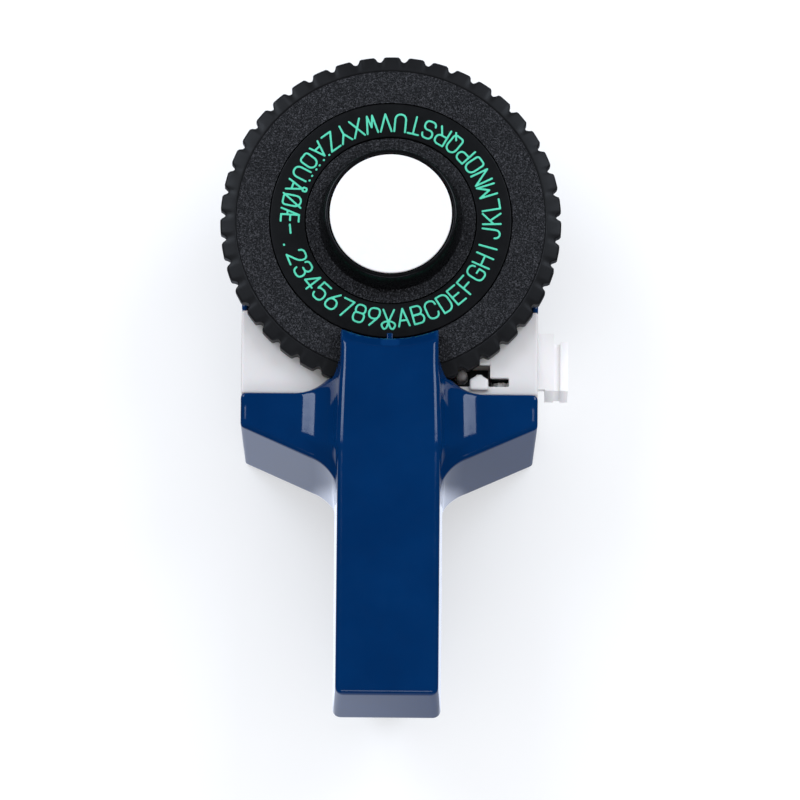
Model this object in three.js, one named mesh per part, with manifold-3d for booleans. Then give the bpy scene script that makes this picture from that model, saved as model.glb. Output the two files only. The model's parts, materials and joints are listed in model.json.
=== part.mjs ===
// Hand-held embossing label maker, lying on its back. Millimetres, +Z up.
// The dial turns about the Z axis, the handle points along -Y, the tape runs along X.
import * as THREE from 'three';
import { mergeVertices } from 'three/addons/utils/BufferGeometryUtils.js';
import Module from 'manifold-3d';

const wasm = await Module();
wasm.setup();

// ---- driving dimensions ----
const GAP = 0.3; // clearance between touching pieces
const WALL = 1.8; // moulded shell wall
const BODY_HALF = 35; // half the width of the wings and of the rear housing
const SPINE_HALF = 11.55; // half the width of the handle's front face
const NOSE_HALF = 12.2; // half the width of the nose over the dial
const NOSE_LIP_R = 29.3; // the nose's edge is an arc around the dial's axis
const NOSE_FLAT_R = 32.5; // and slopes down from the flat front
const NOSE_LIP_Z = 47.8; // to this height
const POINTER = [-31, -27.7]; // index tab, along Y
const DRAFT = Math.tan(THREE.MathUtils.degToRad(1.5)); // handle side draft
const HANDLE_END = -115.4;
const WING_TOP = -41.2; // wing edge next to the dial
const WING_EDGE = -49.3; // lower end of the wing's outer edge
const WING_SLOPE = 0.449; // rise over run of the wing's lower edge
const WING_ROOT_X = 18.2; // where the sloped edge turns into the handle
const WING_ROOT_Y = -65.5; // where that turn meets the handle's side
const WEB_R = 8; // fillet in plan between the nose and the wings' upper edges
const WEB_FACE = 46.1;
const RIM_CLEAR = 0.75; // clearance between the dial's rim and the webs
const NOSE_WALL = 1.6;
const NOSE_ROOF = 49.4; // height of the room inside the nose
const WING_FACE = 42; // height of the wings' front face
const SPINE_FACE = 51; // height of the handle's front face
const HANDLE_BACK = 23; // height of the handle's rear edge
const BACK_PLATE = 1.8; // thickness of the rear shell's back
const BAY_TOP = -20.5; // upper side of the tape bay
const BAY_BOTTOM = -39.3; // lower side of the tape bay

const TEETH = 43; // one scallop for each character position
const DIAL_R = 40.3;
const VALLEY_R = 39;
const LAND = 0.58; // share of the pitch that is the flat top of a tooth
const DISC_BACK = 40.5;
const DISC_FACE = 44.8;
const RIM_FACE = 44;
const CHAR_IN = 20.3; // character ring radii
const CHAR_OUT = 28.5;
const CHAR_FACE = 45;
const CHAR_SEAT = 42.9; // floor of the groove that holds the character ring
const KNOB_R = 17;
const KNOB_TOP_R = 15.6;
const KNOB_TOP = 51.4;
const CAP_SEAT = 50.5; // floor of the recess that holds the cap
const CAP_R = 14.4;
const CAP_TOP = 51.8;
const DIE_R = 37.2; // rear disc
const DIE_BACK = 35.6;
const DIE_FACE = 37.4;
const AXLE_R = 3;
const AXLE_BACK = 23;
const BORE_R = 3.35;

const PLATE_BACK = 38.2; // white front plate of the middle frame
const PLATE_FACE = 39.7;
const FRAME_BOTTOM = -40.8; // frame edge next to the wings
const CUTOUT_X = [13.6, 23.7]; // cut-out beside the nose, and the slot that runs on from it
const CUTOUT_Y = [-38.9, -33.6];
const SLOT_X = [23.6, 28.1];
const SLOT_Y = [-38.9, -36.8];
const PAWL_SLOT_X = [19, 25]; // passage for the feed pawl
const PAWL_SLOT_Z = [26, 37.9];
const SHAFT_HOLE_R = 1.2;
const SHELF_BACK = 33;
const SHELF_FACE = 34.2;
const COVER_FACE = 35.3; // black cover plate seen in the front plate's cut-out
const COVER_PIN = [17, -35.8];
const COVER_PIN_R = 1.35;
const COVER_PIN_TOP = 38.9;
const FEED_X = 26.8; // feed shaft, parallel to Y
const FEED_Z = 34.8;
const FEED_R = 2.8;
const RATCHET_R = 2.6;
const CUT_X = -31; // cutter
const REEL_X = 4; // tape reel, parallel to Y
const REEL_Z = 17;
const REEL_R = 13;
const DRAWER_X = [-32.8, 33];
const DRAWER_Y = [-38.9, -22.6];
const DRAWER_Z = [2.4, 31.6];
const DRAWER_WALL = 1.5;
const PULL_DEPTH = 12; // height of the drawer's pull, from its top face down
const PULL_Y = [-37.8, -23.9];

const PIVOT_Y = -54; // trigger pivot
const PIVOT_Z = 12;
const TRIGGER_HALF = 9;
const TRIGGER_END = -107;
const PAWL_X = 21.5;
const PAWL_Z = 30;
const SPRING_Y = -78; // trigger return spring
const SPRING_R = 3.2;
const SPRING_WIRE = 0.45;
const POST_END = 30; // rear end of the spring's post
const BAY_END_TOP = 21.7; // height of the rear shell's end wall at the tape bay
const PIN_R = 2; // trigger pin and its hole
const PIN_HOLE_R = 2.3;
const SCREW_R = 1.2; // case screws, their holes, heads and head recesses
const SCREW_HOLE_R = 1.5;
const SCREW_HEAD_R = 2.4;
const SCREW_RECESS_R = 2.7;
const FRONT_BOSS_R = 3.9; // screw bosses in the front shell, under the wings and in the housing
const WING_BOSS_R = 3.2;
const HOUSING_BOSS_R = 4.5;
const BOSS_TOP = 5; // height of the rear shell's screw bosses under the wings
const SCREWS = [[-27.5, -46.8, 30], [27.5, -46.8, 30], [-22, 20, 33.9], [22, 20, 33.9]];

// ---- materials ----
function finish(color, roughness, metalness = 0) {
  return new THREE.MeshStandardMaterial({ color, roughness, metalness });
}
const BLUE = 0x052f63;
const WHITE = 0xe9e9ea;
const BLACK = 0x18181b;
const STEEL = 0xb4b8bc;

// ---- solid helpers ----
function toSolid(geometry) {
  const bare = geometry.index ? geometry.toNonIndexed() : geometry.clone();
  bare.deleteAttribute('normal');
  bare.deleteAttribute('uv');
  const merged = mergeVertices(bare, 1e-4);
  const vertProperties = new Float32Array(merged.attributes.position.array);
  const index = merged.index.array;
  const kept = [];
  for (let i = 0; i < index.length; i += 3) {
    const [a, b, c] = [index[i], index[i + 1], index[i + 2]];
    if (a !== b && b !== c && c !== a) kept.push(a, b, c);
  }
  const build = (verts) => new wasm.Manifold(
    new wasm.Mesh({ numProp: 3, vertProperties, triVerts: new Uint32Array(verts) }),
  );
  const made = build(kept);
  if (made.volume() > 0) return made;
  const flipped = [];
  for (let i = 0; i < kept.length; i += 3) flipped.push(kept[i], kept[i + 2], kept[i + 1]);
  return build(flipped);
}

function toGeometry(solid) {
  const mesh = solid.getMesh();
  const geometry = new THREE.BufferGeometry();
  geometry.setAttribute('position', new THREE.BufferAttribute(new Float32Array(mesh.vertProperties), 3));
  geometry.setIndex(new THREE.BufferAttribute(new Uint32Array(mesh.triVerts), 1));
  geometry.computeVertexNormals();
  return geometry;
}

function join(...solids) {
  return solids.reduce((sum, next) => sum.add(next));
}

function cut(base, ...tools) {
  return tools.reduce((rest, tool) => rest.subtract(tool), base);
}

function block([x0, x1], [y0, y1], [z0, z1]) {
  const geometry = new THREE.BoxGeometry(x1 - x0, y1 - y0, z1 - z0);
  geometry.translate((x0 + x1) / 2, (y0 + y1) / 2, (z0 + z1) / 2);
  return toSolid(geometry);
}

function rodZ(x, y, r, [z0, z1], sides = 24) {
  const geometry = new THREE.CylinderGeometry(r, r, z1 - z0, sides);
  geometry.rotateX(Math.PI / 2);
  geometry.translate(x, y, (z0 + z1) / 2);
  return toSolid(geometry);
}

function rodY(x, z, r, [y0, y1], sides = 24) {
  const geometry = new THREE.CylinderGeometry(r, r, y1 - y0, sides);
  geometry.translate(x, (y0 + y1) / 2, z);
  return toSolid(geometry);
}

function rodX(y, z, r, [x0, x1], sides = 24) {
  const geometry = new THREE.CylinderGeometry(r, r, x1 - x0, sides);
  geometry.rotateZ(Math.PI / 2);
  geometry.translate((x0 + x1) / 2, y, z);
  return toSolid(geometry);
}

// A flat outline in the XY plane, raised from z0 to z1.
function slab(shape, [z0, z1], curveSegments = 6) {
  const geometry = new THREE.ExtrudeGeometry(shape, { depth: z1 - z0, bevelEnabled: false, curveSegments });
  geometry.translate(0, 0, z0);
  return toSolid(geometry);
}

// A side outline of (y, z) points, carried from x0 to x1.
function sideSlab(points, [x0, x1]) {
  const shape = new THREE.Shape(points.map(([y, z]) => new THREE.Vector2(y, z)));
  const geometry = new THREE.ExtrudeGeometry(shape, { depth: x1 - x0, bevelEnabled: false });
  geometry.rotateY(Math.PI / 2);
  geometry.rotateX(Math.PI / 2);
  geometry.translate(x0, 0, 0);
  return toSolid(geometry);
}

// A profile of (radius, height) points turned about Z. It starts and ends on the axis, or closes.
function turned(points, sides = 48) {
  const profile = points.map(([r, z]) => new THREE.Vector2(r, z));
  const geometry = new THREE.LatheGeometry(profile, sides);
  geometry.rotateX(Math.PI / 2);
  return toSolid(geometry);
}

function ring(rIn, rOut, [z0, z1], sides = 48) {
  return cut(rodZ(0, 0, rOut, [z0, z1], sides), rodZ(0, 0, rIn, [z0 - 1, z1 + 1], sides));
}

// A block whose sides widen towards its back, as a moulded handle is drafted.
function draftedBlock(half, yRange, [z0, z1]) {
  const outline = new THREE.Shape();
  outline.moveTo(-half, z1);
  outline.lineTo(-half - (z1 - z0) * DRAFT, z0);
  outline.lineTo(half + (z1 - z0) * DRAFT, z0);
  outline.lineTo(half, z1);
  outline.closePath();
  const depth = yRange[1] - yRange[0];
  const geometry = new THREE.ExtrudeGeometry(outline, { depth, bevelEnabled: false });
  geometry.rotateX(Math.PI / 2);
  geometry.translate(0, yRange[1], 0);
  return toSolid(geometry);
}

const group = new THREE.Group();

function addPart(name, solid, color, roughness, metalness) {
  const mesh = new THREE.Mesh(toGeometry(solid), finish(color, roughness, metalness));
  mesh.name = name;
  group.add(mesh);
}

// ---- outlines ----
// The wings and the top of the handle in plan, moved inwards by inset.
function wingOutline(inset) {
  const half = BODY_HALF - inset;
  const top = WING_TOP - inset;
  const slopeY = (x) => WING_EDGE - (BODY_HALF - x) * WING_SLOPE + inset * 1.1;
  const root = SPINE_HALF - inset;
  const shape = new THREE.Shape();
  shape.moveTo(-half, top);
  shape.lineTo(-half, slopeY(half));
  shape.lineTo(-WING_ROOT_X, slopeY(WING_ROOT_X));
  shape.quadraticCurveTo(-root - 1.6, slopeY(WING_ROOT_X) - 2.3, -root, WING_ROOT_Y);
  shape.lineTo(root, WING_ROOT_Y);
  shape.quadraticCurveTo(root + 1.6, slopeY(WING_ROOT_X) - 2.3, WING_ROOT_X, slopeY(WING_ROOT_X));
  shape.lineTo(half, slopeY(half));
  shape.lineTo(half, top);
  shape.closePath();
  return shape;
}

// The webs that run from the nose's sides to the wings' upper edges, over the dial's rim.
function webs() {
  const plan = new THREE.Shape();
  const reach = NOSE_HALF + WEB_R;
  plan.moveTo(-reach, WING_TOP - 1);
  plan.lineTo(-reach, WING_TOP);
  plan.absarc(-reach, WING_TOP + WEB_R, WEB_R, -Math.PI / 2, 0, false);
  plan.lineTo(NOSE_HALF, WING_TOP + WEB_R);
  plan.absarc(reach, WING_TOP + WEB_R, WEB_R, Math.PI, 1.5 * Math.PI, false);
  plan.lineTo(reach, WING_TOP - 1);
  plan.closePath();
  return cut(
    slab(plan, [PLATE_FACE + GAP, WEB_FACE], 10),
    rodZ(0, 0, DIAL_R + RIM_CLEAR, [PLATE_BACK, CHAR_FACE + GAP], 96),
  );
}

// The housing behind the dial in plan: straight sides, then a half circle.
function housingOutline(inset) {
  const half = BODY_HALF - inset;
  const shape = new THREE.Shape();
  shape.moveTo(-half, BAY_TOP + inset);
  shape.lineTo(half, BAY_TOP + inset);
  shape.lineTo(half, 0);
  shape.absarc(0, 0, half, 0, Math.PI, false);
  shape.closePath();
  return shape;
}

// The dial's rim: flat-topped teeth with rounded valleys.
function rimOutline() {
  const pitch = (2 * Math.PI) / TEETH;
  const points = [];
  for (let i = 0; i < TEETH; i += 1) {
    const centre = i * pitch;
    const half = (pitch * LAND) / 2;
    const gap = pitch - 2 * half;
    const stations = [[-half, DIAL_R], [half, DIAL_R], [half + gap * 0.25, VALLEY_R + 0.2]];
    stations.push([half + gap * 0.5, VALLEY_R], [half + gap * 0.75, VALLEY_R + 0.2]);
    for (const [angle, r] of stations) {
      points.push(new THREE.Vector2(r * Math.cos(centre + angle), r * Math.sin(centre + angle)));
    }
  }
  return new THREE.Shape(points);
}

// ---- casings ----
// The round space that ends the nose: upright at the bottom, then flaring out to the front face.
function noseEnd(offset) {
  return turned([
    [0, CHAR_FACE - 1], [NOSE_LIP_R + offset, CHAR_FACE - 1], [NOSE_LIP_R + offset, NOSE_LIP_Z],
    [NOSE_FLAT_R + offset, SPINE_FACE], [NOSE_FLAT_R + offset, SPINE_FACE + 1], [0, SPINE_FACE + 1],
  ], 96);
}

function frontShell() {
  const handle = draftedBlock(SPINE_HALF, [HANDLE_END, WING_TOP], [0, SPINE_FACE]);
  const nose = cut(
    block([-NOSE_HALF, NOSE_HALF], [WING_TOP - 1, -20], [CHAR_FACE + GAP, SPINE_FACE]),
    noseEnd(0),
  );
  const wings = slab(wingOutline(0), [0, WING_FACE]);
  const inner = SPINE_HALF - WALL;
  const handleRoom = draftedBlock(inner, [HANDLE_END + WALL, WING_TOP - WALL], [-1, SPINE_FACE - WALL]);
  const noseInner = NOSE_HALF - NOSE_WALL;
  const noseRoom = cut(
    block([-noseInner, noseInner], [WING_TOP - WALL - 0.1, -20], [CHAR_FACE, NOSE_ROOF]),
    noseEnd(WALL),
  );
  const wingRoom = slab(wingOutline(WALL), [-1, WING_FACE - WALL]);
  const floorPass = block([-32.9, 32.9], [WING_TOP - WALL - 1, WING_TOP + 1], [-1, BACK_PLATE + GAP]);
  const pawlSlot = block(PAWL_SLOT_X, [WING_TOP - WALL - 1, WING_TOP + 1], PAWL_SLOT_Z);
  const pointer = block([-0.75, 0.75], POINTER, [CHAR_FACE + GAP, CHAR_FACE + 1.3]);
  const bossZ = [BOSS_TOP + GAP, WING_FACE - 1];
  const bosses = SCREWS.slice(0, 2).map(([x, y]) => rodZ(x, y, FRONT_BOSS_R, bossZ, 20));
  const holes = SCREWS.slice(0, 2).map(([x, y, top]) => rodZ(x, y, SCREW_HOLE_R, [0, top + 1], 16));
  const post = rodZ(0, SPRING_Y, 2.2, [POST_END - 3, SPINE_FACE - 1], 20);
  const seat = rodZ(0, SPRING_Y, 4.4, [POST_END, SPINE_FACE - 1], 20);
  // The handle's rear edge runs up from the wings' roots, to leave room for the trigger.
  const trim = sideSlab([
    [-64, -2], [-66, 3], [-70, 10], [-77, 18], [-88, HANDLE_BACK - 1], [-100, HANDLE_BACK],
    [HANDLE_END - 2, HANDLE_BACK], [HANDLE_END - 2, -2],
  ], [-20, 20]);
  const whole = join(handle, nose, wings, webs());
  const shell = cut(whole, handleRoom, noseRoom, wingRoom, floorPass, pawlSlot, trim);
  return cut(join(shell, pointer, post, seat, ...bosses), ...holes);
}

function rearShell() {
  const lower = slab(wingOutline(WALL + GAP), [0, BACK_PLATE]);
  const mouth = block([-10.2, 10.2], [-72, -59], [-1, 30]);
  const bridge = block([-32.6, 32.6], [WING_TOP - WALL - 1, WING_TOP + 1], [0, BACK_PLATE]);
  const upper = slab(housingOutline(0), [0, SHELF_BACK + 1.6], 24);
  const upperRoom = slab(housingOutline(WALL), [BACK_PLATE, SHELF_BACK + 3], 24);
  const crossWallTop = block([-33, 33], [BAY_TOP - 1, BAY_TOP + WALL + 1], [SHELF_BACK - GAP, 40]);
  const bayFloor = block([-BODY_HALF, BODY_HALF], [WING_TOP + GAP, BAY_TOP + 0.5], [0, BACK_PLATE]);
  const bayEnd = block([-BODY_HALF, -BODY_HALF + 1.4], [WING_TOP + GAP, BAY_TOP + 0.5], [0, BAY_END_TOP]);
  const corners = [-1, 1].map((side) => {
    const x = [side * 33.5, side * BODY_HALF].sort((a, b) => a - b);
    return block(x, [BAY_TOP, -17.5], [30, PLATE_BACK]);
  });
  const ribs = [-1, 1].map((side) => {
    const x = [side * 10.5, side * 13.2].sort((a, b) => a - b);
    return block(x, [PIVOT_Y - 3.2, PIVOT_Y + 3.6], [1, PIVOT_Z + 4.5]);
  });
  const bosses = SCREWS.map(([x, y], i) => {
    const [r, top] = i < 2 ? [WING_BOSS_R, BOSS_TOP] : [HOUSING_BOSS_R, SHELF_BACK - GAP];
    return rodZ(x, y, r, [0, top], 20);
  });
  const shafts = SCREWS.map(([x, y]) => rodZ(x, y, SCREW_HOLE_R, [-1, 40], 16));
  const heads = SCREWS.map(([x, y]) => rodZ(x, y, SCREW_RECESS_R, [-1, 2.7], 20));
  const pinHole = rodX(PIVOT_Y, PIVOT_Z, PIN_HOLE_R, [-16, 16], 20);
  const shell = cut(join(lower, bridge, cut(upper, upperRoom), bayFloor, bayEnd), mouth, crossWallTop);
  return cut(join(shell, ...corners, ...ribs, ...bosses), ...shafts, ...heads, pinHole);
}

// ---- the white middle frame ----
function middleFrame() {
  const front = block([-BODY_HALF, BODY_HALF], [FRAME_BOTTOM, BAY_TOP - GAP], [PLATE_BACK, PLATE_FACE]);
  const lowerZ = [BACK_PLATE + GAP, PLATE_FACE];
  const lower = block([-BODY_HALF + 1.6, BODY_HALF], [FRAME_BOTTOM, BAY_BOTTOM], lowerZ);
  const shelf = join(
    block([-34, 34], [-40, BAY_TOP - GAP], [SHELF_BACK, SHELF_FACE]),
    slab(housingOutline(WALL + GAP + 0.1), [SHELF_BACK, SHELF_FACE], 20),
    block([-32.5, 32.5], [BAY_TOP - 1, BAY_TOP + WALL + 1], [SHELF_BACK, SHELF_FACE]),
  );
  const leftWall = block([-BODY_HALF, -33.2], [BAY_BOTTOM - 1, -22], [BAY_END_TOP + GAP, 37]);
  const rightWall = block([33.6, BODY_HALF], [BAY_BOTTOM - 1, -22], [32.2, 37]);
  const hub = rodZ(0, 0, 6, [AXLE_BACK - 1, DIE_BACK - GAP], 32);
  const bearing = block([24.8, 28.8], [-29.6, -28.4], [SHELF_BACK, FEED_Z + 1.6]);
  const guide = block([18.9, 23.3], [-40, -36.2], [PLATE_BACK, 41]);
  const axleHole = rodZ(0, 0, AXLE_R + GAP, [AXLE_BACK - 2, 40], 32);
  const screwHoles = SCREWS.slice(2).map(([x, y]) => rodZ(x, y, SCREW_HOLE_R, [30, 40], 16));
  const windows = [
    block([-5, 5], [-38, -26], [PLATE_BACK - 0.5, PLATE_FACE + 1]),
    block(CUTOUT_X, CUTOUT_Y, [PLATE_BACK - 1, PLATE_FACE + 1]),
    block(SLOT_X, SLOT_Y, [PLATE_BACK - 1, PLATE_FACE + 1]),
    block([23.6, 30], [-39, -29.9], [SHELF_BACK - 1, SHELF_FACE + 1]),
    block([19, 24.5], [-39.5, -37], [SHELF_BACK - 1, SHELF_FACE + 1]),
    block([CUT_X - 1.9, CUT_X + 1.9], [-38.9, -28.1], [SHELF_BACK - 1, SHELF_FACE + 1]),
    block([CUT_X - 0.6, CUT_X + 0.6], [-38.9, -28.1], [PLATE_BACK - 1, PLATE_BACK + 0.9]),
    block(PAWL_SLOT_X, [-42, BAY_BOTTOM + 0.2], PAWL_SLOT_Z),
    rodY(FEED_X, FEED_Z, SHAFT_HOLE_R, [-42, -28], 16),
  ];
  const frame = join(front, lower, shelf, leftWall, rightWall, hub, bearing);
  return join(cut(frame, axleHole, ...screwHoles, ...windows), guide);
}

// The black cover plate under the cut-out, clear of the pawl's finger.
function coverPlate() {
  const z = [SHELF_FACE + GAP, COVER_FACE];
  const plate = join(block([13.9, 19.8], [-38.6, -33.9], z), block([19.7, 23.3], [-37.1, -33.9], z));
  return cut(plate, rodZ(...COVER_PIN, COVER_PIN_R + GAP, [SHELF_FACE, COVER_FACE + 1], 24));
}

function coverPin() {
  const [x, y] = COVER_PIN;
  const dome = 0.6;
  const shank = rodZ(x, y, COVER_PIN_R, [SHELF_FACE + GAP, COVER_PIN_TOP - dome], 24);
  return join(shank, rodZ(x, y, COVER_PIN_R - dome / 2, [SHELF_FACE + GAP, COVER_PIN_TOP], 24));
}

// ---- dial ----
function dialFrontDisc() {
  const body = turned([
    [0, DISC_BACK], [36, DISC_BACK], [39.2, DISC_BACK + 0.4], [39.2, RIM_FACE], [36.9, DISC_FACE],
    [CHAR_OUT + GAP, DISC_FACE], [CHAR_OUT + GAP, CHAR_SEAT], [CHAR_IN - GAP, CHAR_SEAT],
    [CHAR_IN - GAP, DISC_FACE], [0, DISC_FACE],
  ], 86);
  const rim = slab(rimOutline(), [DISC_BACK + 0.4, RIM_FACE]);
  const hollow = rodZ(0, 0, VALLEY_R - 2, [DISC_BACK - 1, RIM_FACE + 1], 86);
  const hub = rodZ(0, 0, 12, [DIE_FACE + GAP, DISC_BACK + 1], 36);
  const bore = rodZ(0, 0, BORE_R, [30, 50], 32);
  return cut(join(body, cut(rim, hollow), hub), bore);
}

function dialKnob() {
  return turned([
    [0, 49], [11, 49], [11, DISC_FACE + GAP], [KNOB_R, DISC_FACE + GAP], [KNOB_TOP_R, KNOB_TOP - 0.4],
    [KNOB_TOP_R - 0.4, KNOB_TOP], [CAP_R + GAP, KNOB_TOP], [CAP_R + GAP, CAP_SEAT], [0, CAP_SEAT],
  ]);
}

// ---- trigger and press ----
function triggerLever() {
  const grip = sideSlab([
    [-56, 7.4], [-60, 3.4], [-66, 1.2], [-80, 0.4], [TRIGGER_END + 3, 3.6], [TRIGGER_END, 6],
    [TRIGGER_END, 21], [-68, 24], [-60, 19], [-56, 16.6],
  ], [-TRIGGER_HALF, TRIGGER_HALF]);
  const hub = rodX(PIVOT_Y, PIVOT_Z, 5, [-TRIGGER_HALF, TRIGGER_HALF], 24);
  const arm = sideSlab([[-54, 8], [-44.8, 9.3], [-44.8, 13.5], [-54, 16]], [-3.5, 3.5]);
  const pocket = sideSlab([
    [-68, 5.5], [-80, 3], [TRIGGER_END + 4, 6], [TRIGGER_END + 2, 8], [TRIGGER_END + 2, 30], [-68, 30],
  ], [-TRIGGER_HALF + 2, TRIGGER_HALF - 2]);
  const pinHole = rodX(PIVOT_Y, PIVOT_Z, PIN_HOLE_R, [-12, 12], 20);
  return cut(join(grip, hub, arm), pocket, pinHole);
}

function pressArm() {
  const [yBack, yFront] = [-48, -44.6];
  const sides = [-1, 1].map((side) => {
    const x = [side * 4.5, side * 6.5].sort((a, b) => a - b);
    return block(x, [yBack, yFront], [6, 49]);
  });
  const hook = block([-6.5, 6.5], [yBack, yFront], [6, 8.5]);
  const reach = block([-6.5, 6.5], [yBack, -32.8], [47.6, 49]);
  const sideArm = block([6, 23.2], [yBack + 0.2, -45.6], [28, 32.2]);
  const pawlHole = rodY(PAWL_X, PAWL_Z, 1.5, [-50, -44], 16);
  return cut(join(...sides, hook, reach, sideArm), pawlHole);
}

function feedPawl() {
  const width = [PAWL_X - 0.4, PAWL_X + 2.2];
  const pivot = rodY(PAWL_X, PAWL_Z, 1.2, [-47.9, -43.5], 16);
  const upright = block(width, [-44.8, -43.5], [PAWL_Z, 36]);
  const finger = block(width, [-44.8, -37.5], [33.6, 36]);
  return join(pivot, upright, finger);
}

function triggerSpring() {
  const turns = 7;
  const [low, high] = [8, POST_END - GAP - SPRING_WIRE];
  const steps = turns * 12;
  const points = [];
  for (let i = 0; i <= steps; i += 1) {
    const angle = (i / 12) * 2 * Math.PI;
    const z = low + ((high - low) * i) / steps;
    points.push(new THREE.Vector3(SPRING_R * Math.cos(angle), SPRING_Y + SPRING_R * Math.sin(angle), z));
  }
  const wire = new THREE.Shape();
  wire.absarc(0, 0, SPRING_WIRE, 0, 2 * Math.PI, false);
  const path = new THREE.CatmullRomCurve3(points);
  const options = { steps, extrudePath: path, curveSegments: 3, bevelEnabled: false };
  return toSolid(new THREE.ExtrudeGeometry(wire, options));
}

function ratchetWheel() {
  const count = 12;
  const points = [];
  for (let i = 0; i < count; i += 1) {
    const angle = (i / count) * 2 * Math.PI;
    points.push(new THREE.Vector2(RATCHET_R * Math.cos(angle), RATCHET_R * Math.sin(angle)));
    points.push(new THREE.Vector2(2.05 * Math.cos(angle + 0.12), 2.05 * Math.sin(angle + 0.12)));
  }
  const width = 1.4;
  const geometry = new THREE.ExtrudeGeometry(new THREE.Shape(points), { depth: width, bevelEnabled: false });
  geometry.rotateX(Math.PI / 2);
  geometry.translate(FEED_X, -37.3, FEED_Z);
  return cut(toSolid(geometry), rodY(FEED_X, FEED_Z, SHAFT_HOLE_R, [-40, -30], 16));
}

function caseScrew(x, y, top) {
  const head = rodZ(x, y, SCREW_HEAD_R, [0.6, 2.4], 16);
  const shaft = rodZ(x, y, SCREW_R, [2, top], 12);
  const slot = block([x - 1.9, x + 1.9], [y - 0.35, y + 0.35], [0, 1.4]);
  return cut(join(head, shaft), slot);
}

// ---- tape drawer ----
function tapeDrawer() {
  const [x0, x1] = DRAWER_X;
  const [y0, y1] = DRAWER_Y;
  const [z0, z1] = DRAWER_Z;
  const wall = DRAWER_WALL;
  const tray = cut(
    block(DRAWER_X, DRAWER_Y, DRAWER_Z),
    block([x0 + wall, x1 - wall], [y0 + wall, y1 + 1], [z0 + wall, z1 - wall]),
    block([19, 24], [y0 + 1.6, y1 - 3], [z1 - 2, z1 + 1]),
  );
  const spindle = rodY(REEL_X, REEL_Z, 3, [y0 + 1, -24.5], 24);
  // The pull outside the casing: a neck, a block, and a flange set off by a shallow groove.
  const pullZ = [z1 - PULL_DEPTH, z1];
  const [pullLow, pullHigh] = PULL_Y;
  const neck = block([x1 - 1, 37.5], [pullLow + GAP, pullHigh], [z1 - 2, z1]);
  const endBlock = block([36.8, 38.9], PULL_Y, pullZ);
  const groove = block([38.8, 40.5], [pullLow + 0.15, pullHigh - 2.5], [pullZ[0] + 0.8, z1 - 0.8]);
  const flange = block([40.4, 42.2], [pullLow, pullHigh - 2], pullZ);
  return join(tray, spindle, neck, endBlock, groove, flange);
}

function tubeY(x, z, rIn, rOut, yRange, sides = 36) {
  const bore = rodY(x, z, rIn, [yRange[0] - 1, yRange[1] + 1], sides);
  return cut(rodY(x, z, rOut, yRange, sides), bore);
}

function leafSpring() {
  const strip = sideSlab([
    [10, 34.5], [20, 34.5], [25, 35], [28, 34.9], [28, 35.2], [25, 35.3], [19.8, 34.8], [10, 34.8],
  ], [-3, 3]);
  return strip;
}

// ---- assembly ----
addPart('front_shell', frontShell(), BLUE, 0.18);
addPart('rear_shell', rearShell(), BLUE, 0.2);
addPart('middle_frame', middleFrame(), WHITE, 0.4);
addPart('anvil_pad', rodZ(0, -33, 4, [SHELF_FACE + GAP, DIE_BACK - GAP], 24), STEEL, 0.35, 1);
addPart('dial_axle', cut(
  rodZ(0, 0, AXLE_R, [AXLE_BACK, DISC_FACE], 32),
  rodZ(0, 0, 1.6, [36, 50], 16),
), STEEL, 0.3, 1);
addPart('dial_washer', ring(1.7, 6, [DISC_FACE + GAP, 45.9], 32), STEEL, 0.3, 1);
addPart('dial_screw', join(rodZ(0, 0, 3.6, [46.2, 47.9], 24), rodZ(0, 0, 1.3, [37, 46.3], 16)), STEEL, 0.3, 1);
addPart('detent_spring', leafSpring(), STEEL, 0.3, 1);
addPart('dial_front_disc', dialFrontDisc(), BLACK, 0.55);
addPart('dial_rear_disc', ring(BORE_R, DIE_R, [DIE_BACK, DIE_FACE], 72), BLACK, 0.5);
addPart('character_ring', ring(CHAR_IN, CHAR_OUT, [CHAR_SEAT + GAP, CHAR_FACE], 72), BLACK, 0.35);
addPart('dial_knob', dialKnob(), BLACK, 0.3);
addPart('dial_cap', rodZ(0, 0, CAP_R, [CAP_SEAT + GAP, CAP_TOP], 64), WHITE, 0.35);
addPart('trigger_lever', triggerLever(), BLUE, 0.25);
addPart('trigger_pin', rodX(PIVOT_Y, PIVOT_Z, PIN_R, [-13, 13], 20), STEEL, 0.3, 1);
addPart('trigger_spring', triggerSpring(), STEEL, 0.3, 1);
addPart('press_arm', pressArm(), STEEL, 0.35, 1);
addPart('press_head', block([-2.5, 2.5], [-36, -31.7], [46.7, 47.3]), BLACK, 0.6);
addPart('feed_pawl', feedPawl(), BLACK, 0.5);
addPart('cover_plate', coverPlate(), BLACK, 0.5);
addPart('cover_pin', coverPin(), STEEL, 0.3, 1);
addPart('feed_shaft', rodY(FEED_X, FEED_Z, 0.9, [-40.5, -28.5], 16), STEEL, 0.3, 1);
addPart('feed_roller', tubeY(FEED_X, FEED_Z, SHAFT_HOLE_R, FEED_R, [-36.9, -29.9], 28), BLACK, 0.8);
addPart('ratchet_wheel', ratchetWheel(), WHITE, 0.45);
addPart('blade_holder', block([CUT_X - 1.6, CUT_X + 1.6], [-38.6, -28.4], [32.3, 36.4]), BLACK, 0.5);
addPart('cutter_blade', sideSlab([[-38.3, 36.7], [-28.7, 36.7], [-28.7, 37.1], [-38.3, 37.4]],
  [CUT_X - 0.2, CUT_X + 0.2]), STEEL, 0.25, 1);
addPart('tape_drawer', tapeDrawer(), WHITE, 0.4);
addPart('reel_core', tubeY(REEL_X, REEL_Z, 3 + GAP, 5.5, [-37.1, -24.5]), WHITE, 0.5);
addPart('tape_roll', tubeY(REEL_X, REEL_Z, 5.8, REEL_R, [-36.9, -27.9], 48), 0x20242c, 0.3);
SCREWS.forEach(([x, y, top], i) => {
  addPart(`case_screw_${i + 1}`, caseScrew(x, y, top), STEEL, 0.35, 1);
});

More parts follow.
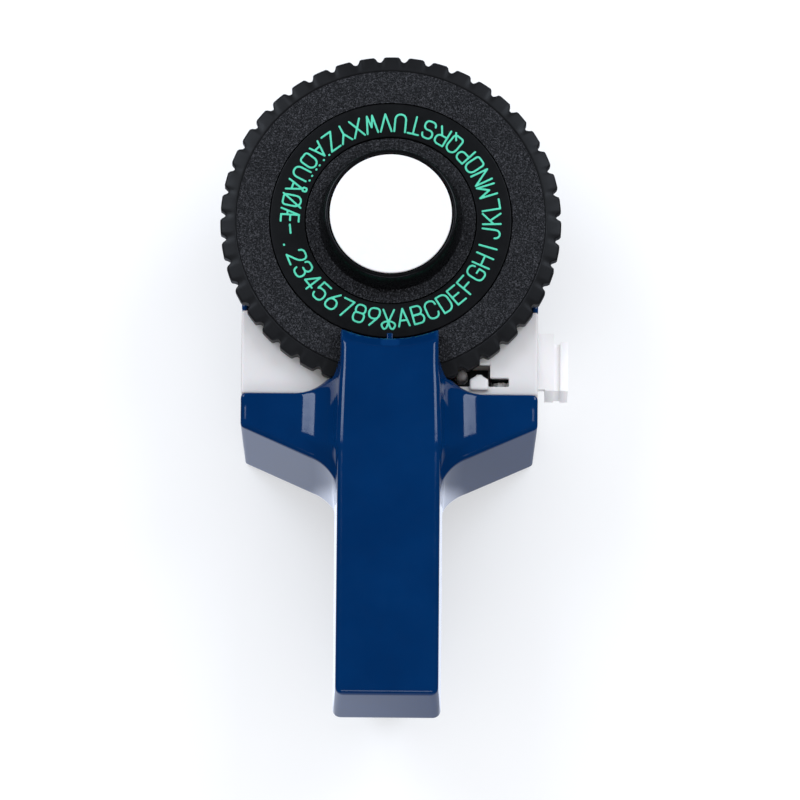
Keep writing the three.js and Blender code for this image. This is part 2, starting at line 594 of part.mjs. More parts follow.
export default group;
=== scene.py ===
"""Looks of the hand-held embossing label maker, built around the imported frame."""

import json
import math

import bmesh
import bpy
import numpy as np
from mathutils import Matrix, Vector

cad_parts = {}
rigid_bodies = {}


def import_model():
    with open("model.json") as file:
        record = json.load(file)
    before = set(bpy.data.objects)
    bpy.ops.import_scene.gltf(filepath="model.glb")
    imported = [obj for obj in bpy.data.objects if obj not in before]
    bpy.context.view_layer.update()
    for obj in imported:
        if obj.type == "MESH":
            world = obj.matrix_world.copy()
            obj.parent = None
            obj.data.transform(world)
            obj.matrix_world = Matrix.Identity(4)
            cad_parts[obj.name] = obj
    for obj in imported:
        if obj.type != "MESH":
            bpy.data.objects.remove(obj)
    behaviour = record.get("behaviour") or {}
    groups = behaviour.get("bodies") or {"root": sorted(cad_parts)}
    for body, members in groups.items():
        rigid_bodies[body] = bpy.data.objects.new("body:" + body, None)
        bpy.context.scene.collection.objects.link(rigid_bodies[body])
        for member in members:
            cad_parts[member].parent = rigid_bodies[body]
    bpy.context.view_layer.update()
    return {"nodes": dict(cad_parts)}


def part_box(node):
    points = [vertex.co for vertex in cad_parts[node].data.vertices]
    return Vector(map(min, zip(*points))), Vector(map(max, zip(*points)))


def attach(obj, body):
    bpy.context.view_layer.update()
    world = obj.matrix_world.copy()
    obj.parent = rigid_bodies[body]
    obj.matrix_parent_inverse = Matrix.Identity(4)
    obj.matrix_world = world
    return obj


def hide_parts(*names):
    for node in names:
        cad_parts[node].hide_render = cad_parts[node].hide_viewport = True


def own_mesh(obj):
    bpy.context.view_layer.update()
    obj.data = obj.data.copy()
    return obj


for leftover in list(bpy.data.objects):
    bpy.data.objects.remove(leftover)

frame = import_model()
MM = 0.001


def box_mm(node):
    """Lowest and highest corner of a CAD node, in millimetres."""
    low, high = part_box(node)
    return np.array(low) / MM, np.array(high) / MM


SHELL_LOW, SHELL_HIGH = box_mm("front_shell")
REAR_LOW, REAR_HIGH = box_mm("rear_shell")
FRAME_LOW, FRAME_HIGH = box_mm("middle_frame")
DISC_HIGH = box_mm("dial_front_disc")[1]
RING_LOW, RING_HIGH = box_mm("character_ring")
KNOB_LOW, KNOB_HIGH = box_mm("dial_knob")
CAP_LOW, CAP_HIGH = box_mm("dial_cap")
TRIGGER_LOW, TRIGGER_HIGH = box_mm("trigger_lever")

# the dial: scallops, character ring and pointer gap
TEETH = 43
TOOTH_PHASE = math.radians(-2.0)
CHAR_PHASE = math.radians(-0.8)
DIAL_R = DISC_HIGH[1]
RING_IN = 20.3
RING_OUT = RING_HIGH[0]

# the casing: wings, handle (spine) and the nose that reaches over the dial
WALL = 1.8
GAP = 0.3
WING_HALF = SHELL_HIGH[0]
WING_FACE = 42.0
WING_TOP = -41.2
WING_EDGE = -49.3
WING_SLOPE = 0.449
WING_ROOT_X = 18.2
WING_ROOT_Y = -65.5
WING_LEAN = 0.016
SPINE_HALF = 11.55
SPINE_WIDER = 0.45
DRAFT = math.tan(math.radians(1.5))
COVE_R = 9.9
NOSE_LIP_R = 29.3
NOSE_FLAT_R = 32.5
NOSE_LIP_Z = 47.8
DIAL_FLOOR = RING_HIGH[2] + GAP
HOUSING_BASE = -20.5
BACK_PLATE = 1.8

# the white frame between the casings
FRAME_PLATE = 39.7
PLATE_BACK = 38.2
SHELF = (33.0, 34.2)

# passages, screws and the trigger's pivot
PAWL_SLOT_X = (19.0, 25.0)
PAWL_SLOT_Z = (26.0, 37.9)
WING_SCREWS = ((-27.5, -46.8), (27.5, -46.8))
HOUSING_SCREWS = ((-22.0, 20.0), (22.0, 20.0))
SCREW_HOLE_R = 1.5
SCREW_RECESS_R = 2.7
PIVOT = (-54.0, 12.0)
PIN_HOLE_R = 2.3
FEED = (26.8, 34.8)

# ---- materials


def principled(name, color, roughness, **inputs):
    """A new material with one Principled shader. Uniform values are set on its own sockets."""
    mat = bpy.data.materials.new(name)
    mat.use_nodes = True
    shader = mat.node_tree.nodes["Principled BSDF"]
    shader.inputs["Base Color"].default_value = (*color, 1.0)
    shader.inputs["Roughness"].default_value = roughness
    for key, value in inputs.items():
        shader.inputs[key.replace("_", " ")].default_value = value
    return mat, mat.node_tree, shader


def add_noise(tree, scale_per_mm, detail=3.0, rough=0.55):
    """Noise in object space, scaled in features per millimetre."""
    coords = tree.nodes.new("ShaderNodeTexCoord")
    noise = tree.nodes.new("ShaderNodeTexNoise")
    noise.inputs["Scale"].default_value = scale_per_mm / MM
    noise.inputs["Detail"].default_value = detail
    noise.inputs["Roughness"].default_value = rough
    tree.links.new(coords.outputs["Object"], noise.inputs["Vector"])
    return noise


def vary_color(tree, shader, source, dark, light):
    """Base colour runs from dark to light with a texture."""
    ramp = tree.nodes.new("ShaderNodeValToRGB")
    ramp.color_ramp.elements[0].position = 0.3
    ramp.color_ramp.elements[1].position = 0.7
    ramp.color_ramp.elements[0].color = (*dark, 1.0)
    ramp.color_ramp.elements[1].color = (*light, 1.0)
    tree.links.new(source, ramp.inputs["Fac"])
    tree.links.new(ramp.outputs["Color"], shader.inputs["Base Color"])
    return ramp


def vary_roughness(tree, shader, source, low, high):
    """Roughness runs from low to high with a texture."""
    span = tree.nodes.new("ShaderNodeMapRange")
    span.inputs["From Min"].default_value = 0.3
    span.inputs["From Max"].default_value = 0.7
    span.inputs["To Min"].default_value = low
    span.inputs["To Max"].default_value = high
    tree.links.new(source, span.inputs["Value"])
    tree.links.new(span.outputs["Result"], shader.inputs["Roughness"])


def add_bump(tree, shader, source, height_mm, strength=1.0):
    """Fine relief from a texture, in the shading only."""
    bump = tree.nodes.new("ShaderNodeBump")
    bump.inputs["Distance"].default_value = height_mm * MM
    bump.inputs["Strength"].default_value = strength
    tree.links.new(source, bump.inputs["Height"])
    tree.links.new(bump.outputs["Normal"], shader.inputs["Normal"])


def edge_tint(tree, shader, ramp, tint, amount):
    """Convex edges are painted a little lighter."""
    geometry = tree.nodes.new("ShaderNodeNewGeometry")
    edge = tree.nodes.new("ShaderNodeMapRange")
    edge.inputs["From Min"].default_value = 0.52
    edge.inputs["From Max"].default_value = 0.62
    edge.inputs["To Max"].default_value = amount
    mix = tree.nodes.new("ShaderNodeMix")
    mix.data_type = "RGBA"
    mix.inputs["B"].default_value = (*tint, 1.0)
    tree.links.new(geometry.outputs["Pointiness"], edge.inputs["Value"])
    tree.links.new(edge.outputs["Result"], mix.inputs["Factor"])
    tree.links.new(ramp.outputs["Color"], mix.inputs["A"])
    tree.links.new(mix.outputs["Result"], shader.inputs["Base Color"])


def moulded(name, dark, light, gloss, rough, grain_mm, grain_height, edge=None, **inputs):
    """Moulded plastic: slight clouding, uneven gloss, fine grain, and paler edges."""
    mat, tree, shader = principled(name, light, rough, **inputs)
    clouds = add_noise(tree, 0.06, detail=4.0)
    ramp = vary_color(tree, shader, clouds.outputs["Fac"], dark, light)
    smears = add_noise(tree, 0.35, detail=5.0)
    vary_roughness(tree, shader, smears.outputs["Fac"], gloss, rough)
    grain = add_noise(tree, 1.0 / grain_mm, detail=2.0)
    add_bump(tree, shader, grain.outputs["Fac"], grain_height)
    if edge:
        edge_tint(tree, shader, ramp, edge, 0.5)
    return mat


def blue_plastic(name):
    """Glossy navy plastic."""
    dark, light = (0.0002, 0.0178, 0.0770), (0.0005, 0.0225, 0.0930)
    return moulded(name, dark, light, 0.05, 0.10, 0.5, 0.0015, edge=(0.004, 0.040, 0.150), IOR=1.45)


def white_plastic(name, tone):
    """Warm white plastic that lets a little light in."""
    dark = (tone - 0.02, tone - 0.045, tone - 0.05)
    light = (tone, tone - 0.022, tone - 0.03)
    return moulded(
        name, dark, light, 0.28, 0.4, 0.4, 0.004,
        IOR=1.46, Subsurface_Weight=0.08, Subsurface_Scale=0.002,
    )


def black_plastic(name, tone, gloss, rough, grain_mm=0.3, grain_height=0.006):
    """Black plastic with a fine grain."""
    return moulded(
        name, (tone, tone, tone * 1.08), (tone * 1.35, tone * 1.35, tone * 1.5), gloss, rough,
        grain_mm, grain_height, edge=(tone * 3, tone * 3, tone * 3.2), Specular_IOR_Level=0.2,
    )


def grained_black():
    """Spark-eroded black plastic: a coarse pebbled grain whose small facets carry painted glints."""
    mat, tree, shader = principled("grained_black", (0.010, 0.010, 0.012), 0.4)
    coords = tree.nodes.new("ShaderNodeTexCoord")
    cells = tree.nodes.new("ShaderNodeTexVoronoi")
    cells.inputs["Scale"].default_value = 2.2 / MM
    tree.links.new(coords.outputs["Object"], cells.inputs["Vector"])
    fine = add_noise(tree, 3.4, detail=3.0)
    # most of the grain is near black, and its crests are painted pale as painted glints
    ramp = vary_color(tree, shader, fine.outputs["Fac"], (0.0035, 0.0034, 0.0044), (0.075, 0.074, 0.082))
    ramp.color_ramp.elements[0].position = 0.48
    ramp.color_ramp.elements[1].position = 0.74
    vary_roughness(tree, shader, cells.outputs["Distance"], 0.25, 0.55)
    total = tree.nodes.new("ShaderNodeMath")
    total.operation = "ADD"
    tree.links.new(cells.outputs["Distance"], total.inputs[0])
    tree.links.new(fine.outputs["Fac"], total.inputs[1])
    shader.inputs["Specular IOR Level"].default_value = 0.3
    add_bump(tree, shader, total.outputs["Value"], 0.22)
    return mat


def brushed_metal(name, color, rough, stretch=(1.0, 14.0, 1.0)):
    """Drawn or ground steel: fine lines along one direction."""
    mat, tree, shader = principled(name, color, rough, Metallic=1.0)
    coords = tree.nodes.new("ShaderNodeTexCoord")
    mapping = tree.nodes.new("ShaderNodeMapping")
    mapping.inputs["Scale"].default_value = stretch
    noise = tree.nodes.new("ShaderNodeTexNoise")
    noise.inputs["Scale"].default_value = 0.6 / MM
    noise.inputs["Detail"].default_value = 4.0
    tree.links.new(coords.outputs["Object"], mapping.inputs["Vector"])
    tree.links.new(mapping.outputs["Vector"], noise.inputs["Vector"])
    dark = tuple(c * 0.8 for c in color)
    vary_color(tree, shader, noise.outputs["Fac"], dark, color)
    vary_roughness(tree, shader, noise.outputs["Fac"], rough * 0.8, rough * 1.3)
    add_bump(tree, shader, noise.outputs["Fac"], 0.004)
    return mat


def paint(name, color):
    """Printed ink that stands a little proud, with slight mottling."""
    mat, tree, shader = principled(name, color, 0.45)
    mottle = add_noise(tree, 1.5, detail=3.0)
    vary_color(tree, shader, mottle.outputs["Fac"], tuple(c * 0.86 for c in color), color)
    vary_roughness(tree, shader, mottle.outputs["Fac"], 0.38, 0.55)
    add_bump(tree, shader, mottle.outputs["Fac"], 0.006)
    return mat


BLUE = blue_plastic("blue_shell_plastic")
# the frame's white is darker than the drawer's, partly its own tone and partly painted shade from the dial
# above it
WHITE_WITH_PAINTED_SHADE = white_plastic("white_frame_plastic_painted_shade", 0.64)
PIN_GREY = white_plastic("pin_plastic", 0.34)
# the drawer's white is paler: painted light that makes up for the shade it sits in, low in the casing
WHITE_DRAWER_PAINTED_LIGHT = white_plastic("white_drawer_plastic_painted_light", 0.93)
CAP_WHITE = white_plastic("cap_plastic", 0.80)
BLACK = black_plastic("black_plastic", 0.0065, 0.36, 0.5)
RING_BLACK = black_plastic("ring_black_plastic", 0.0030, 0.38, 0.5)
KNOB_BLACK = black_plastic("knob_black_plastic", 0.0025, 0.2, 0.3, grain_height=0.003)
GRAINED = grained_black()
RUBBER = black_plastic("roller_rubber", 0.012, 0.7, 0.9)
TAPE = black_plastic("tape_vinyl", 0.012, 0.18, 0.3)
STEEL = brushed_metal("plated_steel", (0.56, 0.57, 0.59), 0.3)
SPRING_STEEL = brushed_metal("spring_steel", (0.45, 0.46, 0.48), 0.26)
INK = paint("turquoise_ink", (0.075, 0.62, 0.40))
POINTER_BLUE = blue_plastic("pointer_blue_plastic")

# ---- mesh tools


def link(name, verts, faces, material, sharp_deg=32.0):
    """A smooth-shaded object from vertices in millimetres."""
    mesh = bpy.data.meshes.new(name)
    mesh.from_pydata([tuple(v) for v in np.asarray(verts, float) * MM], [], [tuple(f) for f in faces])
    mesh.update()
    return wrap(name, mesh, material, sharp_deg)


def wrap(name, mesh, material, sharp_deg=32.0):
    """A smooth-shaded object around a mesh."""
    mesh.shade_smooth()
    mesh.set_sharp_from_angle(angle=math.radians(sharp_deg))
    mesh.materials.clear()
    mesh.materials.append(material)
    piece = bpy.data.objects.new(name, mesh)
    bpy.context.scene.collection.objects.link(piece)
    return piece


def finish_piece(piece, body, slot, *nodes):
    """What the piece rides on and which nodes it replaces. The slot argument is not used."""
    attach(piece, body)
    if nodes:
        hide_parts(*nodes)
    return piece


def lattice(low, high, step):
    """Grid coordinates that cover a box with two spare cells on each side."""
    axes = []
    for a, b in zip(low, high):
        count = int(math.ceil((b - a) / step)) + 5
        axes.append(a - 2 * step + step * np.arange(count))
    return axes


def surface_net(field, axes):
    """Quads on the zero surface of a distance field sampled on a regular grid."""
    inside = field < 0
    corner_list = [(i, j, k) for i in (0, 1) for j in (0, 1) for k in (0, 1)]
    cells = tuple(n - 1 for n in field.shape)

    def corner_of(array, corner):
        return array[tuple(slice(c, c + n) for c, n in zip(corner, cells))]

    filled = sum(corner_of(inside, c).astype(np.int8) for c in corner_list)
    active = np.argwhere((filled > 0) & (filled < 8))
    number = np.full(cells, -1, np.int64)
    number[tuple(active.T)] = np.arange(len(active))
    total = np.zeros((len(active), 3))
    crossings = np.zeros(len(active))
    for axis in range(3):
        for corner in corner_list:
            if corner[axis]:
                continue
            far = tuple(c + (1 if i == axis else 0) for i, c in enumerate(corner))
            a = field[tuple((active + corner).T)]
            b = field[tuple((active + far).T)]
            crossed = (a < 0) != (b < 0)
            share = np.where(crossed, a / np.where(crossed, a - b, 1.0), 0.0)
            point = np.repeat(np.array([corner], float), len(active), 0)
            point[:, axis] += share
            total[crossed] += point[crossed]
            crossings[crossed] += 1
    start = np.array([axis_values[0] for axis_values in axes])
    step = axes[0][1] - axes[0][0]
    verts = start + step * (active + total / crossings[:, None])
    faces = []
    for axis in range(3):
        u, v = [i for i in range(3) if i != axis]
        near = [slice(None)] * 3
        far = [slice(None)] * 3
        near[axis], far[axis] = slice(0, -1), slice(1, None)
        changed = np.argwhere(inside[tuple(near)] != inside[tuple(far)])
        changed = changed[(changed[:, u] > 0) & (changed[:, v] > 0)]
        changed = changed[(changed[:, u] < cells[u]) & (changed[:, v] < cells[v])]
        outward = inside[tuple(changed.T)]
        quad = []
        for du, dv in ((1, 1), (0, 1), (0, 0), (1, 0)):
            cell = changed.copy()
            cell[:, u] -= du
            cell[:, v] -= dv
            quad.append(number[tuple(cell.T)])
        quad = np.stack(quad, 1)
        flip = outward if axis != 1 else ~outward
        quad[~flip] = quad[~flip][:, ::-1]
        faces.append(quad)
    return verts, np.concatenate(faces)


def quads_to_mesh(name, verts, faces):
    """A mesh from arrays of vertices, in millimetres, and quads."""
    mesh = bpy.data.meshes.new(name)
    mesh.vertices.add(len(verts))
    mesh.vertices.foreach_set("co", (verts * MM).ravel())
    mesh.loops.add(len(faces) * 4)
    mesh.loops.foreach_set("vertex_index", faces.ravel().astype(np.int32))
    mesh.polygons.add(len(faces))
    mesh.polygons.foreach_set("loop_start", np.arange(0, len(faces) * 4, 4, dtype=np.int32))
    mesh.update(calc_edges=True)
    mesh.validate()
    return mesh


def net_piece(name, shape, low, high, step, material, sharp_deg=40.0):
    """A piece meshed from a distance field."""
    axes = lattice(low, high, step)
    grid = np.meshgrid(*axes, indexing="ij", sparse=True)
    field = shape(*grid).astype(np.float64)
    verts, faces = surface_net(field, axes)
    return wrap(name, quads_to_mesh(name, verts, faces), material, sharp_deg)


# Distance fields, in millimetres. Negative is inside.


def f_box(x, y, z, low, high, r=0.3):
    """A box with its edges rounded by r."""
    centre = [(a + b) / 2 for a, b in zip(low, high)]
    half = [(b - a) / 2 - r for a, b in zip(low, high)]
    qx = np.abs(x - centre[0]) - half[0]
    qy = np.abs(y - centre[1]) - half[1]
    qz = np.abs(z - centre[2]) - half[2]
    outside = np.sqrt(np.maximum(qx, 0) ** 2 + np.maximum(qy, 0) ** 2 + np.maximum(qz, 0) ** 2)
    return outside + np.minimum(np.maximum(np.maximum(qx, qy), qz), 0) - r


def f_round(a, b, at, r):
    """A round bar through a point of the plane of a and b."""
    return np.sqrt((a - at[0]) ** 2 + (b - at[1]) ** 2) - r


def f_outline(x, y, points):
    """Distance to a closed outline in a plane."""
    shape = np.broadcast(x, y).shape
    best = np.full(shape, 1e9)
    sign = np.ones(shape)
    for (ax, ay), (bx, by) in zip(points, points[1:] + points[:1]):
        ex, ey = bx - ax, by - ay
        wx, wy = x - ax, y - ay
        t = np.clip((wx * ex + wy * ey) / (ex * ex + ey * ey), 0, 1)
        best = np.minimum(best, (wx - t * ex) ** 2 + (wy - t * ey) ** 2)
        above = y >= ay
        below = y < by
        left = ex * wy > ey * wx
        inside_flip = (above & below & left) | (~above & ~below & ~left)
        sign = np.where(inside_flip, -sign, sign)
    return sign * np.sqrt(best)


def f_raise(flat, z, z0, z1, r=0.3):
    """A flat field raised from z0 to z1, with its edges rounded by r."""
    w = flat + r
    h = np.abs(z - (z0 + z1) / 2) - (z1 - z0) / 2 + r
    outside = np.sqrt(np.maximum(w, 0) ** 2 + np.maximum(h, 0) ** 2)
    return np.minimum(np.maximum(w, h), 0) + outside - r


def f_join_round(a, b, r):
    """Union with a concave fillet."""
    u = np.maximum(r - a, 0)
    v = np.maximum(r - b, 0)
    return np.maximum(r, np.minimum(a, b)) - np.sqrt(u * u + v * v)


def f_meet_round(a, b, r):
    """Intersection with a rounded edge."""
    u = np.maximum(r + a, 0)
    v = np.maximum(r + b, 0)
    return np.minimum(-r, np.maximum(a, b)) + np.sqrt(u * u + v * v)


def smooth_step(a, b, v):
    """Runs from 0 at a to 1 at b, level at both ends."""
    t = np.clip((v - a) / (b - a), 0, 1)
    return t * t * (3 - 2 * t)


def wing_outline(inset=0.0):
    """The wings in plan, down to where the handle leaves them."""
    half = WING_HALF - inset
    top = WING_TOP - inset
    root = SPINE_HALF - inset

    def slope_y(x):
        return WING_EDGE - (WING_HALF - x) * WING_SLOPE + inset * 1.1

    start = (WING_ROOT_X, slope_y(WING_ROOT_X))
    bend = (root + 1.6, start[1] - 2.3)
    end = (root, WING_ROOT_Y)
    right = [(half, top), (half, slope_y(half))]
    for i in range(13):
        t = i / 12
        right.append(tuple(
            (1 - t) ** 2 * a + 2 * t * (1 - t) * b + t * t * c for a, b, c in zip(start, bend, end)
        ))
    left = [(-x, y) for x, y in reversed(right)]
    return right + left


# ---- front shell


def front_shell_outer(x, y, z, open_back=False):
    """The casing's outside. open_back runs it on below the floor, for hollowing."""
    # the front face narrows a little towards the nose, and the sides widen towards the back
    taper = 0.55 * smooth_step(-60.0, -31.0, y)
    depth = np.minimum(SHELL_HIGH[2] - z, 28.0)
    half = SPINE_HALF + SPINE_WIDER - taper + depth * DRAFT
    bottom = -8.0 if open_back else 0.0
    flat = f_meet_round(np.abs(x) - half, SHELL_LOW[1] - y, 1.8)
    spine = f_meet_round(flat, z - SHELL_HIGH[2], 1.5)
    # the nose ends in an arc around the dial, with a sloping lip
    radius = np.hypot(x, y)
    slope = (NOSE_FLAT_R - NOSE_LIP_R) / (SHELL_HIGH[2] - NOSE_LIP_Z)
    lip = (NOSE_LIP_R + (z - NOSE_LIP_Z) * slope - radius) / math.sqrt(1 + slope * slope)
    spine = f_meet_round(spine, lip, 0.7)
    spine = f_meet_round(spine, NOSE_LIP_R - radius, 0.4)
    # the wings have round corners in plan, lean in towards the back, and keep a crisp edge at the dial
    lean = WING_LEAN * np.maximum(WING_FACE - z, 0)
    corner = 1.3
    plan = f_outline(x, y, wing_outline(corner)) - corner + 0 * z
    edge = 0.7 + 0.9 * smooth_step(0.8, 3.0, WING_TOP - y)
    wings = f_meet_round(plan + lean, z - WING_FACE, edge)
    # the cove between handle and wings dies out at the wings' sloping edge
    above = y - WING_EDGE + (WING_HALF - np.abs(x)) * WING_SLOPE
    fillet_r = 0.6 + COVE_R * smooth_step(-1.0, 4.5, above)
    whole = f_join_round(spine, wings, fillet_r)
    return f_meet_round(whole, bottom - z, 0.9)


def front_shell_shape(x, y, z):
    """Handle, wings and nose as one thin wall, open at the back."""
    outer = front_shell_outer(x, y, z)
    inner = front_shell_outer(x, y, z, open_back=True) + WALL
    shell = np.maximum(outer, -inner)
    radius = np.hypot(x, y)
    dial = np.maximum(radius - (DIAL_R + 0.45), z - DIAL_FLOOR)
    shell = np.maximum(shell, -dial)
    # room for the white frame, whose front plate passes under the webs
    bay = np.maximum(WING_TOP - y, z - (FRAME_PLATE + GAP))
    shell = np.maximum(shell, -bay)
    # the rear edge of the handle
    back = f_outline(y, z, [
        (-64.0, -3.0), (-66.0, 3.0), (-70.0, 10.0), (-77.0, 18.0), (-88.0, 22.0), (-100.0, 23.0),
        (-120.0, 23.0), (-120.0, -3.0),
    ]) + 0 * x
    shell = f_meet_round(shell, -back, 0.4)
    # passage for the rear shell's plate and the pawl
    shell = np.maximum(shell, -f_box(x, y, z, (-32.9, -44.0, -5.0), (32.9, -40.0, BACK_PLATE + GAP), 0.1))
    low = (PAWL_SLOT_X[0], -44.0, PAWL_SLOT_Z[0])
    high = (PAWL_SLOT_X[1], -40.0, PAWL_SLOT_Z[1])
    return np.maximum(shell, -f_box(x, y, z, low, high, 0.2))


def build_front_shell():
    piece = net_piece(
        "casing_front", front_shell_shape, SHELL_LOW, SHELL_HIGH, 0.45, BLUE, sharp_deg=50.0,
    )
    finish_piece(piece, "casing", "shell_blue", "front_shell")
    low = (-0.75, -31.0, DIAL_FLOOR)
    high = (0.75, -27.7, DIAL_FLOOR + 1.1)
    pointer = net_piece(
        "pointer_tab", lambda x, y, z: f_box(x, y, z, low, high, 0.3), low, high, 0.12, POINTER_BLUE,
    )
    finish_piece(pointer, "casing", "shell_blue")


# ---- other casings


def housing_field(x, y, inset=0.0):
    """The housing behind the dial in plan."""
    half = REAR_HIGH[0] - inset
    base = HOUSING_BASE + inset
    upper = np.where(y > 0, np.hypot(x, y), np.abs(x)) - half
    return f_meet_round(upper, base - y, 0.8)


def rear_shell_shape(x, y, z):
    """The back plate, the housing behind the dial, lugs for the pin and screw bosses."""
    top = 34.6
    flat = housing_field(x, y)
    body = f_raise(flat, z, 0.0, top, 1.0)
    room = f_raise(housing_field(x, y, WALL), z, WALL, top + 5, 0.5)
    body = np.maximum(body, -room)
    for side in (-1, 1):
        xs = sorted((side * 33.5, side * REAR_HIGH[0]))
        post = f_box(x, y, z, (xs[0], HOUSING_BASE, 28.0), (xs[1], -17.5, REAR_HIGH[2]), 0.35)
        body = np.minimum(body, post)
    cut = f_box(x, y, z, (-33.0, -21.5, 32.7), (33.0, -17.7, 45.0), 0.2)
    body = np.maximum(body, -cut)
    half = REAR_HIGH[0]
    floor = f_box(x, y, z, (-half, -40.9, 0.0), (half, -19.5, BACK_PLATE), 0.4)
    bridge = f_box(x, y, z, (-32.6, -44.0, 0.0), (32.6, -39.0, BACK_PLATE), 0.3)
    plate = f_raise(f_outline(x, y, wing_outline(WALL + GAP)), z, 0.0, BACK_PLATE, 0.4)
    end = f_box(x, y, z, (-half, -40.9, 0.0), (-33.6, -19.5, 21.7), 0.4)
    for more in (floor, bridge, plate, end):
        body = np.minimum(body, more)
    body = np.maximum(body, -f_box(x, y, z, (-10.2, -73.0, -2.0), (10.2, -59.0, 20.0), 0.8))
    for side in (-1, 1):
        xs = sorted((side * 10.5, side * 13.2))
        body = np.minimum(body, f_box(x, y, z, (xs[0], -57.2, 0.5), (xs[1], -50.4, 16.5), 0.5))
    pin_hole = f_round(y, z, PIVOT, PIN_HOLE_R)
    body = np.maximum(body, -np.maximum(pin_hole, np.abs(x) - 16))
    bosses = [(place, 3.2, 5.0) for place in WING_SCREWS]
    bosses += [(place, 4.5, SHELF[0] - GAP) for place in HOUSING_SCREWS]
    for place, boss_r, boss_top in bosses:
        body = np.minimum(body, f_raise(f_round(x, y, place, boss_r), z, 0.0, boss_top, 0.3))
        recess = f_raise(f_round(x, y, place, SCREW_RECESS_R), z, -5.0, 2.7, 0.15)
        body = np.maximum(body, -np.minimum(recess, f_round(x, y, place, SCREW_HOLE_R)))
    return body


def middle_frame_shape(x, y, z):
    """The front plate with its cut-outs, the shelf behind the dial and the guide post."""
    left, right = FRAME_LOW[0], FRAME_HIGH[0]
    bottom, top = FRAME_LOW[1] - 0.2, HOUSING_BASE - GAP
    body = f_box(x, y, z, (left, bottom, PLATE_BACK), (right, top, FRAME_PLATE), 0.5)
    lower = f_box(x, y, z, (left + 1.6, bottom, BACK_PLATE + GAP), (right, -39.3, FRAME_PLATE), 0.5)
    body = np.minimum(body, lower)
    shelf = f_raise(housing_field(x, y, 2.2), z, *SHELF, 0.2)
    for low, high in (
        ((-34.0, -40.0, SHELF[0]), (34.0, top, SHELF[1])),
        ((-32.5, -21.5, SHELF[0]), (32.5, -17.7, SHELF[1])),
        ((left, -40.3, 22.0), (-33.2, -22.0, 37.0)),
        ((33.6, -40.3, 32.2), (right, -22.0, 37.0)),
        ((left, -40.3, 35.0), (-33.2, -22.0, 39.0)),
        ((33.6, -40.3, 35.0), (right, -22.0, 39.0)),
        ((24.8, -29.6, SHELF[0]), (28.8, -28.4, 36.4)),
    ):
        shelf = np.minimum(shelf, f_box(x, y, z, low, high, 0.2))
    body = np.minimum(body, shelf)
    radius = np.hypot(x, y)
    body = np.minimum(body, f_raise(radius - 6.0, z, 22.0, 35.3, 0.3))
    for low, high in (
        ((-5.0, -38.0, 37.0), (5.0, -26.0, 45.0)),
        ((13.6, -38.9, 37.0), (23.7, -33.6, 45.0)),
        ((23.0, -38.9, 37.0), (28.1, -36.8, 45.0)),
        ((23.6, -39.0, 30.0), (30.0, -29.9, 35.0)),
        ((19.0, -39.5, 30.0), (24.5, -37.0, 35.0)),
        ((-32.9, -38.9, 30.0), (-29.1, -28.1, 35.0)),
        ((PAWL_SLOT_X[0], -43.0, PAWL_SLOT_Z[0]), (PAWL_SLOT_X[1], -39.1, PAWL_SLOT_Z[1])),
    ):
        body = np.maximum(body, -f_box(x, y, z, low, high, 0.15))
    body = np.maximum(body, -f_raise(radius - 3.3, z, 15.0, 45.0, 0.1))
    body = np.maximum(body, -f_round(x, z, FEED, 1.2))
    for place in HOUSING_SCREWS:
        body = np.maximum(body, -f_round(x, y, place, SCREW_HOLE_R))
    # the guide post, with sloping shoulders and a blunt point on its dial side
    plan = f_outline(x, y, [
        (19.3, -39.6), (22.9, -39.6), (22.9, -37.6), (21.9, -37.0), (21.5, -36.6), (20.7, -36.6),
        (20.3, -37.0), (19.3, -37.6),
    ]) - 0.4 + 0 * z
    post = f_raise(plan, z, PLATE_BACK, FRAME_HIGH[2], 0.6)
    return np.minimum(body, post)


def build_middle_frame():
    piece = net_piece("frame_white", middle_frame_shape, FRAME_LOW, FRAME_HIGH, 0.3, WHITE_WITH_PAINTED_SHADE, sharp_deg=50.0)
    finish_piece(piece, "casing", "frame_white", "middle_frame")


def build_rear_shell():
    piece = net_piece("casing_rear", rear_shell_shape, REAR_LOW, REAR_HIGH, 0.5, BLUE, sharp_deg=50.0)
    finish_piece(piece, "casing", "shell_blue", "rear_shell")


def bevelled(node, name, body, slot, material, width=0.25, segments=2, angle=30.0):
    """A carried-over shape with its edges broken, as real moulded or turned edges are."""
    mesh = frame["nodes"][node].data.copy()
    work = bmesh.new()
    work.from_mesh(mesh)
    bmesh.ops.remove_doubles(work, verts=work.verts, dist=2e-6)
    bmesh.ops.dissolve_limit(work, angle_limit=math.radians(1.0), verts=work.verts, edges=work.edges)
    work.to_mesh(mesh)
    work.free()
    piece = wrap(name, mesh, material, 180.0)
    rounding = piece.modifiers.new("edges", "BEVEL")
    rounding.width = width * MM
    rounding.segments = segments
    rounding.limit_method = "ANGLE"
    rounding.angle_limit = math.radians(angle)
    rounding.harden_normals = True
    rounding.use_clamp_overlap = True
    graph = bpy.context.evaluated_depsgraph_get()
    done = bpy.data.meshes.new_from_object(piece.evaluated_get(graph))
    bpy.data.objects.remove(piece)
    piece = wrap(name, done, material, angle)
    return finish_piece(piece, body, slot, node)


# ---- dial


